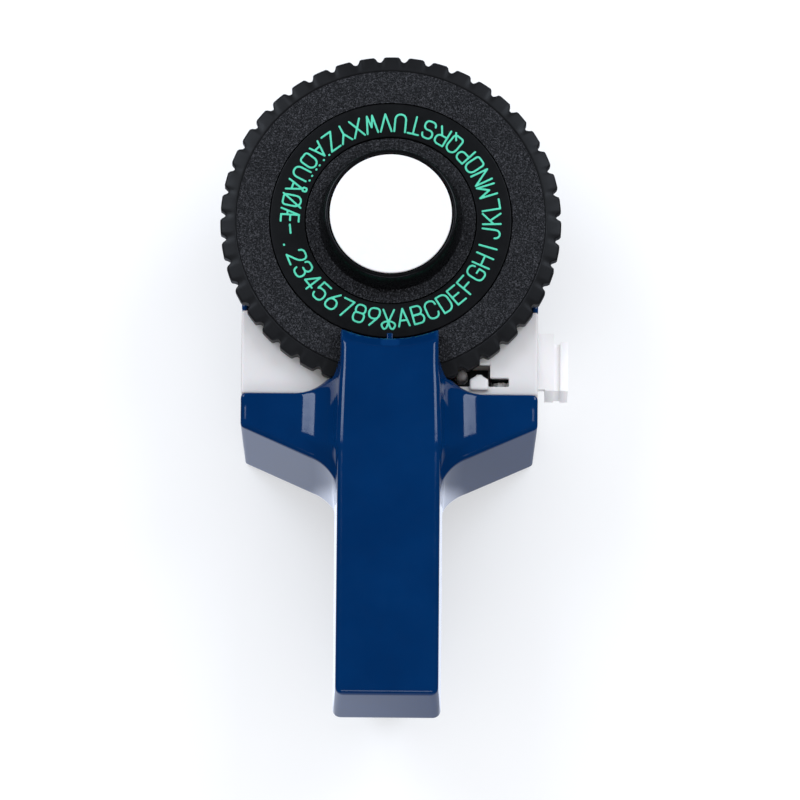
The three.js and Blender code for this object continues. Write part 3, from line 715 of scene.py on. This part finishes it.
def turned_piece(name, profile, material, sides=256, wave=None, sharp_deg=35.0):
    """A profile of (radius, height) turned about the dial's axis.

    wave(angle, radius, height) may move a point.
    """
    verts, faces = [], []
    for i in range(sides):
        angle = 2 * math.pi * i / sides
        for r, z in profile:
            rr, zz = (r, z) if wave is None else wave(angle, r, z)
            verts.append((rr * math.cos(angle), rr * math.sin(angle), zz))
    n = len(profile)
    for i in range(sides):
        j = (i + 1) % sides
        for k in range(n - 1):
            faces.append((i * n + k, j * n + k, j * n + k + 1, i * n + k + 1))
    piece = link(name, verts, faces, material, sharp_deg)
    work = bmesh.new()
    work.from_mesh(piece.data)
    bmesh.ops.remove_doubles(work, verts=work.verts, dist=1e-7)
    bmesh.ops.recalc_face_normals(work, faces=work.faces)
    work.to_mesh(piece.data)
    work.free()
    piece.data.set_sharp_from_angle(angle=math.radians(sharp_deg))
    return piece


def fillet(corner, before, after, r, steps=4):
    """Points of a round corner between two directions."""
    corner, before, after = (np.array(p, float) for p in (corner, before, after))
    u = (before - corner) / np.linalg.norm(before - corner)
    v = (after - corner) / np.linalg.norm(after - corner)
    a, b = corner + u * r, corner + v * r
    return [
        tuple((1 - t) ** 2 * a + 2 * t * (1 - t) * corner + t * t * b)
        for t in np.linspace(0, 1, steps + 1)
    ]


def rounded_profile(points, radii, closed=True):
    """A profile with a radius at each point; 0 keeps the corner."""
    out = []
    n = len(points)
    for i, (p, r) in enumerate(zip(points, radii)):
        if r <= 0 or (not closed and i in (0, n - 1)):
            out.append(tuple(p))
        else:
            out += fillet(p, points[i - 1], points[(i + 1) % n], r)
    if closed:
        out.append(out[0])
    return out


def build_front_disc():
    """The front disc, with its scalloped rim and the channels for both grained rings."""
    back, face, rim_face = 40.5, DISC_HIGH[2], 44.0
    ring_floor = 42.9
    pitch = 2 * math.pi / TEETH
    sides = TEETH * 14
    inner_r = 38.4

    def scallop(angle, r, z):
        """Flat-topped teeth with rounded valleys, cut into the outermost points only."""
        if r < inner_r:
            return r, z
        phase = abs((((angle - TOOTH_PHASE) / pitch + 0.5) % 1.0) - 0.5) * 2
        dip = smooth_step(0.55, 0.9, phase)
        return r - dip * 1.25 * (r - inner_r) / (DIAL_R - inner_r), z

    points = [
        (3.35, 37.7), (12.0, 37.7), (12.0, back), (37.0, back), (DIAL_R - 0.02, back + 0.4),
        (DIAL_R - 0.02, rim_face), (36.9, face - 0.12), (36.5, face - 0.35), (36.5, face),
        (28.8, face), (28.8, ring_floor), (20.0, ring_floor), (20.0, face), (3.35, face),
    ]
    radii = [0.2, 0.3, 0.4, 0.3, 0.35, 0.55, 0.12, 0.1, 0.15, 0.15, 0, 0, 0.15, 0.2]
    profile = rounded_profile(points, radii)
    disc = turned_piece("dial_disc", profile, BLACK, sides, scallop, 40.0)
    finish_piece(disc, "dial", "dial_black", "dial_front_disc")
    return disc


def grain_height(x, y, seed):
    """A pebbled grain from a few turned and scaled waves, between -1 and 1."""
    rng = np.random.default_rng(seed)
    total = np.zeros_like(x)
    for _ in range(26):
        angle = rng.uniform(0, 2 * math.pi)
        wave = rng.uniform(5.0, 11.0)
        phase = rng.uniform(0, 2 * math.pi)
        total += np.sin((x * math.cos(angle) + y * math.sin(angle)) * wave + phase)
    return np.clip(total / 5.0, -1, 1)


def grained_annulus(name, r_in, r_out, base, top, seed, step=0.2):
    """A flat ring whose face carries a spark-eroded grain in the mesh itself."""
    rings = max(3, int((r_out - r_in) / step))
    sides = int(2 * math.pi * r_out / step / 1.25)
    radii = np.linspace(r_in, r_out, rings + 1)
    angles = np.linspace(0, 2 * math.pi, sides, endpoint=False)
    rr, aa = np.meshgrid(radii, angles, indexing="ij")
    xs, ys = rr * np.cos(aa), rr * np.sin(aa)
    fade = np.clip(np.minimum(rr - r_in, r_out - rr) / 0.3, 0, 1)
    heights = top - 0.09 + 0.09 * grain_height(xs, ys, seed) * fade
    heights = np.minimum(heights, top)
    verts = np.stack([xs, ys, heights], -1).reshape(-1, 3)
    below = np.stack([xs[[0, -1]], ys[[0, -1]], np.full_like(xs[[0, -1]], base)], -1).reshape(-1, 3)
    verts = np.concatenate([verts, below])
    faces = []
    start = (rings + 1) * sides
    for j in range(sides):
        k = (j + 1) % sides
        for i in range(rings):
            faces.append((i * sides + j, (i + 1) * sides + j, (i + 1) * sides + k, i * sides + k))
        last = rings * sides
        faces.append((start + j, j, k, start + k))
        faces.append((last + j, start + sides + j, start + sides + k, last + k))
        faces.append((start + sides + j, start + j, start + k, start + sides + k))
    return link(name, verts, faces, GRAINED, 80.0)


def build_grained_rings():
    """The grained rings outside and inside the characters."""
    face = DISC_HIGH[2]
    outer = grained_annulus("grain_ring_outer", 28.75, 36.4, face - 0.25, face + 0.14, 7)
    inner = grained_annulus("grain_ring_inner", 16.4, 20.05, face - 0.25, face + 0.12, 8)
    for piece in (outer, inner):
        finish_piece(piece, "dial", "dial_black")


def build_ring_knob_cap():
    """The smooth ring, the raised knob and the plain white disc."""
    low, high = RING_LOW[2], RING_HIGH[2]
    ring = turned_piece("character_band", rounded_profile(
        [(RING_IN, low), (RING_OUT, low), (RING_OUT, high), (RING_IN, high)], [0, 0, 0.25, 0.25],
    ), RING_BLACK, 256)
    finish_piece(ring, "dial", "ring_black", "character_ring")
    base, top = KNOB_LOW[2], KNOB_HIGH[2]
    seat, underside = 50.5, 49.0
    knob = turned_piece("knob", rounded_profile([
        (11.0, base), (KNOB_HIGH[0], base), (15.6, top), (14.75, top), (14.75, seat), (0.0, seat),
        (0.0, underside), (11.0, underside),
    ], [0.2, 0.3, 0.5, 0.25, 0, 0, 0, 0]), KNOB_BLACK, 192)
    finish_piece(knob, "dial", "knob_black", "dial_knob")
    cap_low, cap_high, cap_r = CAP_LOW[2], CAP_HIGH[2], CAP_HIGH[0]
    cap = turned_piece("cap_disc", rounded_profile([
        (0.0, cap_low), (cap_r, cap_low), (cap_r, cap_high - 0.12), (cap_r - 3.0, cap_high - 0.02),
        (0.0, cap_high),
    ], [0, 0.1, 0.35, 0, 0]), CAP_WHITE, 192)
    finish_piece(cap, "dial", "cap_white", "dial_cap")


def build_cover_pin():
    """The round-ended pin that stands in the black cover plate."""
    low, high = box_mm("cover_pin")
    r = (high[0] - low[0]) / 2
    centre = (low + high) / 2
    quarter = np.linspace(math.pi / 2, 0, 9)
    dome = [(r * math.sin(a), high[2] - r + r * math.cos(a)) for a in quarter]
    profile = [(0.0, low[2]), (r - 0.15, low[2]), (r, low[2] + 0.15)] + dome
    pin = turned_piece("cover_pin_round", profile, PIN_GREY, 48)
    for vert in pin.data.vertices:
        vert.co.x += centre[0] * MM
        vert.co.y += centre[1] * MM
    finish_piece(pin, "casing", "steel", "cover_pin")


# ---- characters

# Each glyph is drawn on a box 4 wide and 6 high. A stroke is (corner radius, points).
GLYPHS = {
    "A": [(0, [(0, 0), (2, 6), (4, 0)]), (0, [(0.7, 2), (3.3, 2)])],
    "B": [
        (1.4, [(0, 3), (3.6, 3), (3.6, 6), (0, 6)]),
        (1.5, [(0, 3.1), (4, 3.1), (4, 0), (0, 0)]),
        (0, [(0, 0), (0, 6)]),
    ],
    "C": [(1.7, [(4, 4.4), (4, 6), (0, 6), (0, 0), (4, 0), (4, 1.6)])],
    "D": [(2.0, [(0, 0), (4, 0), (4, 6), (0, 6)]), (0, [(0, 0), (0, 6)])],
    "E": [(0, [(3.7, 0), (0, 0), (0, 6), (3.7, 6)]), (0, [(0, 3.1), (3, 3.1)])],
    "F": [(0, [(0, 0), (0, 6), (3.7, 6)]), (0, [(0, 3.1), (3, 3.1)])],
    "G": [(1.7, [(4, 4.5), (4, 6), (0, 6), (0, 0), (4, 0), (4, 1.2)]), (0, [(4, 1.0), (4, 2.8), (2.2, 2.8)])],
    "H": [(0, [(0, 0), (0, 6)]), (0, [(4, 0), (4, 6)]), (0, [(0, 3), (4, 3)])],
    "I": [(0, [(2, 0), (2, 6)])],
    "J": [(1.6, [(3.4, 6), (3.4, 0), (0.2, 0), (0.2, 1.6)])],
    "K": [(0, [(0, 0), (0, 6)]), (0, [(4, 6), (0, 2.4)]), (0, [(1.3, 3.6), (4, 0)])],
    "L": [(0, [(0, 6), (0, 0), (3.6, 0)])],
    "M": [(0, [(0, 0), (0, 6), (2, 2.2), (4, 6), (4, 0)])],
    "N": [(0, [(0, 0), (0, 6), (4, 0), (4, 6)])],
    "O": [(1.9, [(2, 0), (4, 0), (4, 6), (0, 6), (0, 0), (2, 0)])],
    "P": [(1.5, [(0, 2.8), (3.9, 2.8), (3.9, 6), (0, 6)]), (0, [(0, 0), (0, 6)])],
    "Q": [(1.9, [(2, 0), (4, 0), (4, 6), (0, 6), (0, 0), (2, 0)]), (0, [(2.4, 1.5), (4.2, -0.5)])],
    "R": [(1.5, [(0, 2.8), (3.9, 2.8), (3.9, 6), (0, 6)]), (0, [(0, 0), (0, 6)]), (0, [(2.1, 2.8), (4, 0)])],
    "S": [(1.4, [(3.9, 4.6), (3.9, 6), (0.1, 6), (0.1, 3.1), (4, 3.1), (4, 0), (0, 0), (0, 1.4)])],
    "T": [(0, [(2, 0), (2, 6)]), (0, [(0, 6), (4, 6)])],
    "U": [(1.8, [(0, 6), (0, 0), (4, 0), (4, 6)])],
    "V": [(0, [(0, 6), (2, 0), (4, 6)])],
    "W": [(0, [(0, 6), (1, 0), (2, 4), (3, 0), (4, 6)])],
    "X": [(0, [(0, 0), (4, 6)]), (0, [(0, 6), (4, 0)])],
    "Y": [(0, [(0, 6), (2, 3), (4, 6)]), (0, [(2, 3), (2, 0)])],
    "Z": [(0, [(0, 6), (4, 6), (0, 0), (4, 0)])],
    "-": [(0, [(0.4, 3), (3.6, 3)])],
    ".": [(0, [(1.9, 0.1), (2.1, 0.1)])],
    "2": [(1.7, [(0, 4.4), (0, 6), (4, 6), (4, 3.4), (0, 0)]), (0, [(0, 0), (4, 0)])],
    "3": [
        (1.5, [(0, 4.8), (0, 6), (3.8, 6), (3.8, 3.2), (1.4, 3.2)]),
        (1.5, [(1.4, 3.2), (4, 3.2), (4, 0), (0, 0), (0, 1.4)]),
    ],
    "4": [(0, [(3, 0), (3, 6), (0, 1.6), (4, 1.6)])],
    "5": [
        (0, [(3.7, 6), (0.3, 6), (0.1, 3.2)]),
        (1.6, [(0.1, 3.2), (0.6, 3.8), (4, 3.8), (4, 0), (0, 0), (0, 1.3)]),
    ],
    "6": [(1.6, [(3.2, 6), (0, 2.6), (0, 0), (4, 0), (4, 3.6), (0.2, 3.6), (0, 2)])],
    "7": [(0, [(0, 6), (4, 6), (1.4, 0)])],
    "8": [(1.4, [(2, 3.2), (0.2, 3.2), (0.2, 6), (3.8, 6), (3.8, 3.2), (2, 3.2)]),
          (1.5, [(2, 3.2), (0, 3.2), (0, 0), (4, 0), (4, 3.2), (2, 3.2)])],
    "9": [(1.6, [(0.8, 0), (4, 3.4), (4, 6), (0, 6), (0, 2.4), (3.8, 2.4), (4, 4)])],
    "scissors": [
        (1.0, [(2.0, 1.7), (0.9, 1.9), (-0.9, 0.9), (0.3, -0.9), (1.3, -0.4), (2.0, 1.7)]),
        (1.0, [(2.0, 1.7), (3.1, 1.9), (4.9, 0.9), (3.7, -0.9), (2.7, -0.4), (2.0, 1.7)]),
        (0, [(2.0, 1.6), (4.0, 5.9)]),
        (0, [(2.0, 1.6), (0.0, 5.9)]),
    ],
}
SMALL_RING = [(0.5, [(2, 5.4), (2.7, 5.4), (2.7, 6.7), (1.3, 6.7), (1.3, 5.4), (2, 5.4)])]


def squat(letter):
    """A letter made lower, to leave room for what stands above it."""
    return [(r, [(x, y * 0.88) for x, y in stroke]) for r, stroke in GLYPHS[letter]]


GLYPHS["A_dots"] = squat("A") + [(0, [(0.5, 6.2), (0.7, 6.2)]), (0, [(3.3, 6.2), (3.5, 6.2)])]
GLYPHS["O_dots"] = squat("O") + [(0, [(0.9, 6.3), (1.1, 6.3)]), (0, [(2.9, 6.3), (3.1, 6.3)])]
GLYPHS["U_dots"] = squat("U") + [(0, [(0.9, 6.3), (1.1, 6.3)]), (0, [(2.9, 6.3), (3.1, 6.3)])]
GLYPHS["A_ring"] = squat("A") + SMALL_RING
GLYPHS["O_slash"] = GLYPHS["O"] + [(0, [(-0.2, -0.3), (4.2, 6.3)])]
GLYPHS["AE"] = [
    (0, [(-0.4, 0), (2, 6), (4.6, 6)]),
    (0, [(2, 6), (2, 0), (4.6, 0)]),
    (0, [(2, 3.1), (4.2, 3.1)]),
    (0, [(0.5, 2.1), (2, 2.1)]),
]
ORDER = (
    ["scissors"] + list("ABCDEFGHIJKLMNOPQRSTUVWXYZ")
    + ["A_dots", "O_dots", "U_dots", "A_ring", "O_slash", "AE", "-", "."] + list("23456789")
)


def rounded_stroke(points, radius):
    """A stroke with its inner corners turned into arcs."""
    if radius <= 0 or len(points) < 3:
        return list(points)
    closed = points[0] == points[-1]
    out = [points[0]]
    for i in range(1, len(points) - 1):
        p, q, s = (np.array(points[k], float) for k in (i - 1, i, i + 1))
        reach = min(radius, np.linalg.norm(p - q) * (0.5 if i > 1 or closed else 1.0),
                    np.linalg.norm(s - q) * (0.5 if i < len(points) - 2 or closed else 1.0))
        a = q + (p - q) / np.linalg.norm(p - q) * reach
        b = q + (s - q) / np.linalg.norm(s - q) * reach
        # closer to an arc than a parabola is: its middle is pulled less towards the corner
        pull = 0.82
        bend = q * pull + (a + b) / 2 * (1 - pull)
        for t in np.linspace(0, 1, 7):
            out.append(tuple((1 - t) ** 2 * a + 2 * t * (1 - t) * bend + t * t * b))
    out.append(points[-1])
    return out


def build_characters():
    """All characters as one raised ink layer on the band, tops towards the dial's centre."""
    height = 4.25
    unit = height / 6
    across = unit * 0.9
    base_r = 25.95
    half_line = 0.235
    proud = 0.09
    step = 0.085
    segments = []
    for i, key in enumerate(ORDER):
        angle = -math.pi / 2 + CHAR_PHASE + 2 * math.pi * i / TEETH
        along = np.array([-math.sin(angle), math.cos(angle)])
        inward = -np.array([math.cos(angle), math.sin(angle)])
        for radius, stroke in GLYPHS[key]:
            points = [
                -inward * base_r + along * (gx - 2) * across + inward * gy * unit
                for gx, gy in rounded_stroke(stroke, radius)
            ]
            pairs = zip(points[:-1], points[1:])
            segments += [(a, b) for a, b in pairs if np.hypot(*(b - a)) > 1e-6]
    reach = base_r + 1.2
    low = (-reach, -reach, RING_HIGH[2] - 0.2)
    high = (reach, reach, RING_HIGH[2] + proud)
    axes = lattice(low, high, step)
    flat = np.full((len(axes[0]), len(axes[1])), 2.0)
    margin = 0.6
    for a, b in segments:
        span = []
        for k in range(2):
            first, last = min(a[k], b[k]) - margin, max(a[k], b[k]) + margin
            span.append(slice(*np.searchsorted(axes[k], (first, last))))
        px = axes[0][span[0]][:, None]
        py = axes[1][span[1]][None, :]
        ex, ey = b - a
        t = np.clip(((px - a[0]) * ex + (py - a[1]) * ey) / (ex * ex + ey * ey), 0, 1)
        gap = np.sqrt((px - a[0] - t * ex) ** 2 + (py - a[1] - t * ey) ** 2)
        window = flat[span[0], span[1]]
        np.minimum(window, gap, out=window)
    field = f_raise(flat[:, :, None] - half_line, axes[2][None, None, :], low[2], high[2], 0.05)
    verts, faces = surface_net(field, axes)
    piece = wrap("characters", quads_to_mesh("characters", verts, faces), INK, 60.0)
    finish_piece(piece, "dial", "ring_black")


# ---- trigger and drawer


def trigger_shape(x, y, z):
    """The hollow grip, the hub around the pin, and the arm that pulls the press."""
    side = f_outline(y, z, [
        (-56.0, 7.4), (-60.0, 3.4), (-66.0, 1.2), (-80.0, 0.4), (-104.0, 3.6), (-107.0, 6.0),
        (-107.0, 21.0), (-68.0, 24.0), (-60.0, 19.0), (-56.0, 16.6),
    ]) + 0 * x
    half = TRIGGER_HIGH[0]
    grip = f_meet_round(side + 0.8, np.abs(x) - half + 0.8, 1.6) - 0.8
    hub = f_meet_round(f_round(y, z, PIVOT, 5.0), np.abs(x) - half, 0.5)
    body = f_join_round(grip, hub, 1.0)
    arm = f_outline(y, z, [(-54.0, 8.0), (-44.8, 9.3), (-44.8, 13.5), (-54.0, 16.0)]) + 0 * x
    body = np.minimum(body, f_meet_round(arm, np.abs(x) - 3.5, 0.5))
    room = f_outline(y, z, [
        (-68.0, 5.5), (-80.0, 3.0), (-103.0, 6.0), (-105.0, 8.0), (-105.0, 30.0), (-68.0, 30.0),
    ]) + 0 * x
    body = np.maximum(body, -f_meet_round(room, np.abs(x) - half + 2.0, 0.8))
    body = np.maximum(body, -f_round(y, z, PIVOT, PIN_HOLE_R))
    # shallow grip grooves across the back of the trigger
    pitch = 6.0
    to_groove = pitch / 2 - np.abs(((y + 104.0) / pitch) % 1.0 - 0.5) * pitch
    back = 0.2 + 0.10 * np.maximum(-84.0 - y, 0)
    groove = np.sqrt(to_groove ** 2 + (z - back) ** 2) - 0.75 + 0 * x
    band = np.maximum(np.maximum(-y - 101.0, y + 70.0), np.abs(x) - 6.5)
    return np.maximum(body, -np.maximum(groove, band))


def build_trigger():
    piece = net_piece("trigger_grip", trigger_shape, TRIGGER_LOW, TRIGGER_HIGH, 0.4, BLUE, sharp_deg=50.0)
    finish_piece(piece, "trigger", "trigger_blue", "trigger_lever")


def build_trigger_spring():
    """The return spring: a coil with closed ends."""
    low, high = box_mm("trigger_spring")
    wire = 0.45
    coil = (high[0] - low[0]) / 2 - wire
    centre_y = (low[1] + high[1]) / 2
    # the coil runs on past its CAD solid, down to the lever's floor
    bottom, top = low[2] - 3.0 + wire, high[2] - wire
    turns, stations, around = 8, 32, 10
    # the share of the wire that lies flat at either end, and one wire radius as a share of the height
    closed = 0.09
    thin = wire / (top - bottom)
    verts, faces = [], []
    count = turns * stations + 1
    for i in range(count):
        share = i / (count - 1)
        angle = 2 * math.pi * turns * share
        climb = min(max((share - closed) / (1 - 2 * closed), 0.0), 1.0)
        first, last = min(share, closed), max(share - 1 + closed, 0.0)
        rise = climb * (1 - 4 * thin) + 2 * thin * (1 - closed) + thin * (first - last) / closed
        centre = Vector((coil * math.cos(angle), centre_y + coil * math.sin(angle), 0.0))
        centre.z = bottom + min(rise, 1.0) * (top - bottom)
        outward = Vector((math.cos(angle), math.sin(angle), 0.0))
        for k in range(around):
            turn = 2 * math.pi * k / around
            verts.append(centre + outward * wire * math.cos(turn) + Vector((0, 0, wire * math.sin(turn))))
    for i in range(count - 1):
        for k in range(around):
            a, b = i * around + k, i * around + (k + 1) % around
            faces.append((a, a + around, b + around, b))
    faces.append(tuple(range(around)))
    faces.append(tuple(reversed(range((count - 1) * around, count * around))))
    piece = link("trigger_spring_coil", verts, faces, SPRING_STEEL, 60.0)
    finish_piece(piece, "casing", "spring_steel", "trigger_spring")
    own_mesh(piece)


def main():
    """Every piece of the tool."""
    build_front_shell()
    build_rear_shell()
    build_front_disc()
    build_grained_rings()
    build_ring_knob_cap()
    build_characters()
    build_trigger()
    build_trigger_spring()
    build_middle_frame()
    build_cover_pin()
    bevelled("tape_drawer", "drawer_white", "drawer", "drawer_white", WHITE_DRAWER_PAINTED_LIGHT, 0.3)
    bevelled("dial_rear_disc", "die_disc", "dial", "dial_black", BLACK, 0.3)
    for i in range(1, 5):
        bevelled(f"case_screw_{i}", f"screw_{i}", "casing", "screw", STEEL, 0.12)
    for node, body, slot, material, width in (
        ("anvil_pad", "casing", "steel", STEEL, 0.1),
        ("cover_plate", "casing", "press_black", BLACK, 0.12),
        ("dial_axle", "casing", "steel", STEEL, 0.2),
        ("dial_washer", "casing", "steel", STEEL, 0.08),
        ("dial_screw", "casing", "steel", STEEL, 0.25),
        ("detent_spring", "casing", "spring_steel", SPRING_STEEL, 0.05),
        ("trigger_pin", "casing", "steel", STEEL, 0.25),
        ("press_arm", "press", "steel", STEEL, 0.2),
        ("press_head", "press", "press_black", BLACK, 0.12),
        ("feed_pawl", "pawl", "press_black", BLACK, 0.2),
        ("feed_shaft", "feed", "steel", STEEL, 0.12),
        ("feed_roller", "feed", "roller_rubber", RUBBER, 0.3),
        ("ratchet_wheel", "feed", "frame_white", WHITE_WITH_PAINTED_SHADE, 0.06),
        ("blade_holder", "cutter", "press_black", BLACK, 0.2),
        ("cutter_blade", "cutter", "blade_steel", STEEL, 0.03),
        ("reel_core", "reel", "frame_white", WHITE_WITH_PAINTED_SHADE, 0.3),
        ("tape_roll", "reel", "tape", TAPE, 0.15),
    ):
        bevelled(node, node + "_detail", body, slot, material, width)


def build_stage():
    """A plain pale floor that shows glossy rays a painted reflection, soft light and the camera."""
    floor_mat, tree, shader = principled("floor", (0.5, 0.5, 0.505), 0.75)
    grain = add_noise(tree, 0.02, detail=2.0)
    vary_color(tree, shader, grain.outputs["Fac"], (0.495, 0.495, 0.5), (0.505, 0.505, 0.51))
    shader.inputs["Emission Color"].default_value = (1.0, 1.0, 1.0, 1.0)
    shader.inputs["Emission Strength"].default_value = 0.46
    # painted reflection, for glossy rays only: what glossy plastic mirrors is a glow graded by place, an even
    # grey near the casing, white beside the handle, dark far out
    nodes, links = tree.nodes, tree.links
    place = nodes.new("ShaderNodeSeparateXYZ")
    links.new(nodes.new("ShaderNodeTexCoord").outputs["Object"], place.inputs["Vector"])
    side = nodes.new("ShaderNodeMath")
    side.operation = "ABSOLUTE"
    links.new(place.outputs["X"], side.inputs[0])

    def ramp_over(source, low, high, start, end):
        """A smooth change from start to end as source goes from low to high, in mm."""
        node = nodes.new("ShaderNodeMapRange")
        node.interpolation_type = "SMOOTHSTEP"
        values = (low * MM, high * MM, start, end)
        for key, value in zip(("From Min", "From Max", "To Min", "To Max"), values):
            node.inputs[key].default_value = value
        links.new(source, node.inputs["Value"])
        return node.outputs["Result"]

    def combine(operation, a, b):
        node = nodes.new("ShaderNodeMath")
        node.operation = operation
        links.new(a, node.inputs[0])
        links.new(b, node.inputs[1])
        return node.outputs["Value"]

    across = ramp_over(place.outputs["X"], -30.0, 30.0, 0.62, 0.33)
    near = ramp_over(side.outputs["Value"], 46.0, 62.0, 1.0, 0.02)
    beside = ramp_over(side.outputs["Value"], 15.0, 20.0, 0.75, 0.0)
    not_below = ramp_over(place.outputs["Y"], -114.6, -114.0, 0.0, 1.0)
    level = combine("MULTIPLY", across, near)
    level = combine("ADD", level, combine("MULTIPLY", beside, not_below))
    # the painted reflection: a glow that glossy rays see in place of the lit floor
    painted_reflection_glow = nodes.new("ShaderNodeEmission")
    painted_reflection_glow.inputs["Color"].default_value = (0.88, 0.95, 1.12, 1.0)
    links.new(level, painted_reflection_glow.inputs["Strength"])
    path = nodes.new("ShaderNodeLightPath")
    painted_reflection_mix = nodes.new("ShaderNodeMixShader")
    links.new(path.outputs["Is Glossy Ray"], painted_reflection_mix.inputs["Fac"])
    links.new(shader.outputs["BSDF"], painted_reflection_mix.inputs[1])
    links.new(painted_reflection_glow.outputs["Emission"], painted_reflection_mix.inputs[2])
    output = next(node for node in nodes if node.type == "OUTPUT_MATERIAL")
    links.new(painted_reflection_mix.outputs["Shader"], output.inputs["Surface"])
    size = 3000.0
    corners = [(-size, -size, 0), (size, -size, 0), (size, size, 0), (-size, size, 0)]
    floor = link("floor", corners, [(0, 1, 2, 3)], floor_mat)

    world = bpy.data.worlds.new("studio")
    bpy.context.scene.world = world
    world.use_nodes = True
    nodes, links = world.node_tree.nodes, world.node_tree.links
    background = nodes["Background"]
    background.inputs["Color"].default_value = (1.0, 1.0, 1.0, 1.0)
    background.inputs["Strength"].default_value = 0.78
    dark = nodes.new("ShaderNodeBackground")
    dark.inputs["Color"].default_value = (0.6, 0.75, 1.0, 1.0)
    dark.inputs["Strength"].default_value = 0.02
    path = nodes.new("ShaderNodeLightPath")
    mix = nodes.new("ShaderNodeMixShader")
    links.new(path.outputs["Is Glossy Ray"], mix.inputs["Fac"])
    links.new(background.outputs["Background"], mix.inputs[1])
    links.new(dark.outputs["Background"], mix.inputs[2])
    links.new(mix.outputs["Shader"], nodes["World Output"].inputs["Surface"])

    def area(name, place, turn_deg, size_mm, energy):
        light = bpy.data.lights.new(name, "AREA")
        light.shape = "RECTANGLE"
        light.size, light.size_y = size_mm[0] * MM, size_mm[1] * MM
        light.energy = energy
        light.color = (0.78, 0.87, 1.0)
        lamp = bpy.data.objects.new(name, light)
        lamp.location = Vector(place) * MM
        lamp.rotation_euler = [math.radians(a) for a in turn_deg]
        bpy.context.scene.collection.objects.link(lamp)
        return lamp

    # two long softboxes on the dial's side, whose near edges end the highlights on the handle
    area("softbox_left", (-780.0, 634.0, 960.0), (0.0, -39.5, 0.0), (700.0, 780.0), 9.5)
    area("softbox_right", (780.0, 634.0, 960.0), (0.0, 39.5, 0.0), (700.0, 780.0), 8.5)
    area("softbox_front", (0.0, -1300.0, 900.0), (55.0, 0.0, 0.0), (1400.0, 500.0), 6.0)

    target = Vector((2.53, -43.6, 45.0)) * MM
    scene = bpy.context.scene
    scene.view_settings.view_transform = "Standard"
    camera_data = bpy.data.cameras.new("camera")
    camera_data.sensor_width = 36.0
    camera_data.lens = 450.0
    camera_data.clip_end = 20.0
    camera = bpy.data.objects.new("camera", camera_data)
    scene.collection.objects.link(camera)
    elevation = math.radians(76.5)
    distance = 2350.0
    away = Vector((0.0, -math.cos(elevation), math.sin(elevation)))
    camera.location = target + away * distance * MM
    camera.rotation_euler = (-away).to_track_quat("-Z", "Y").to_euler()
    camera.rotation_euler.rotate_axis("Z", math.radians(0.49))
    scene.camera = camera


main()
build_stage()
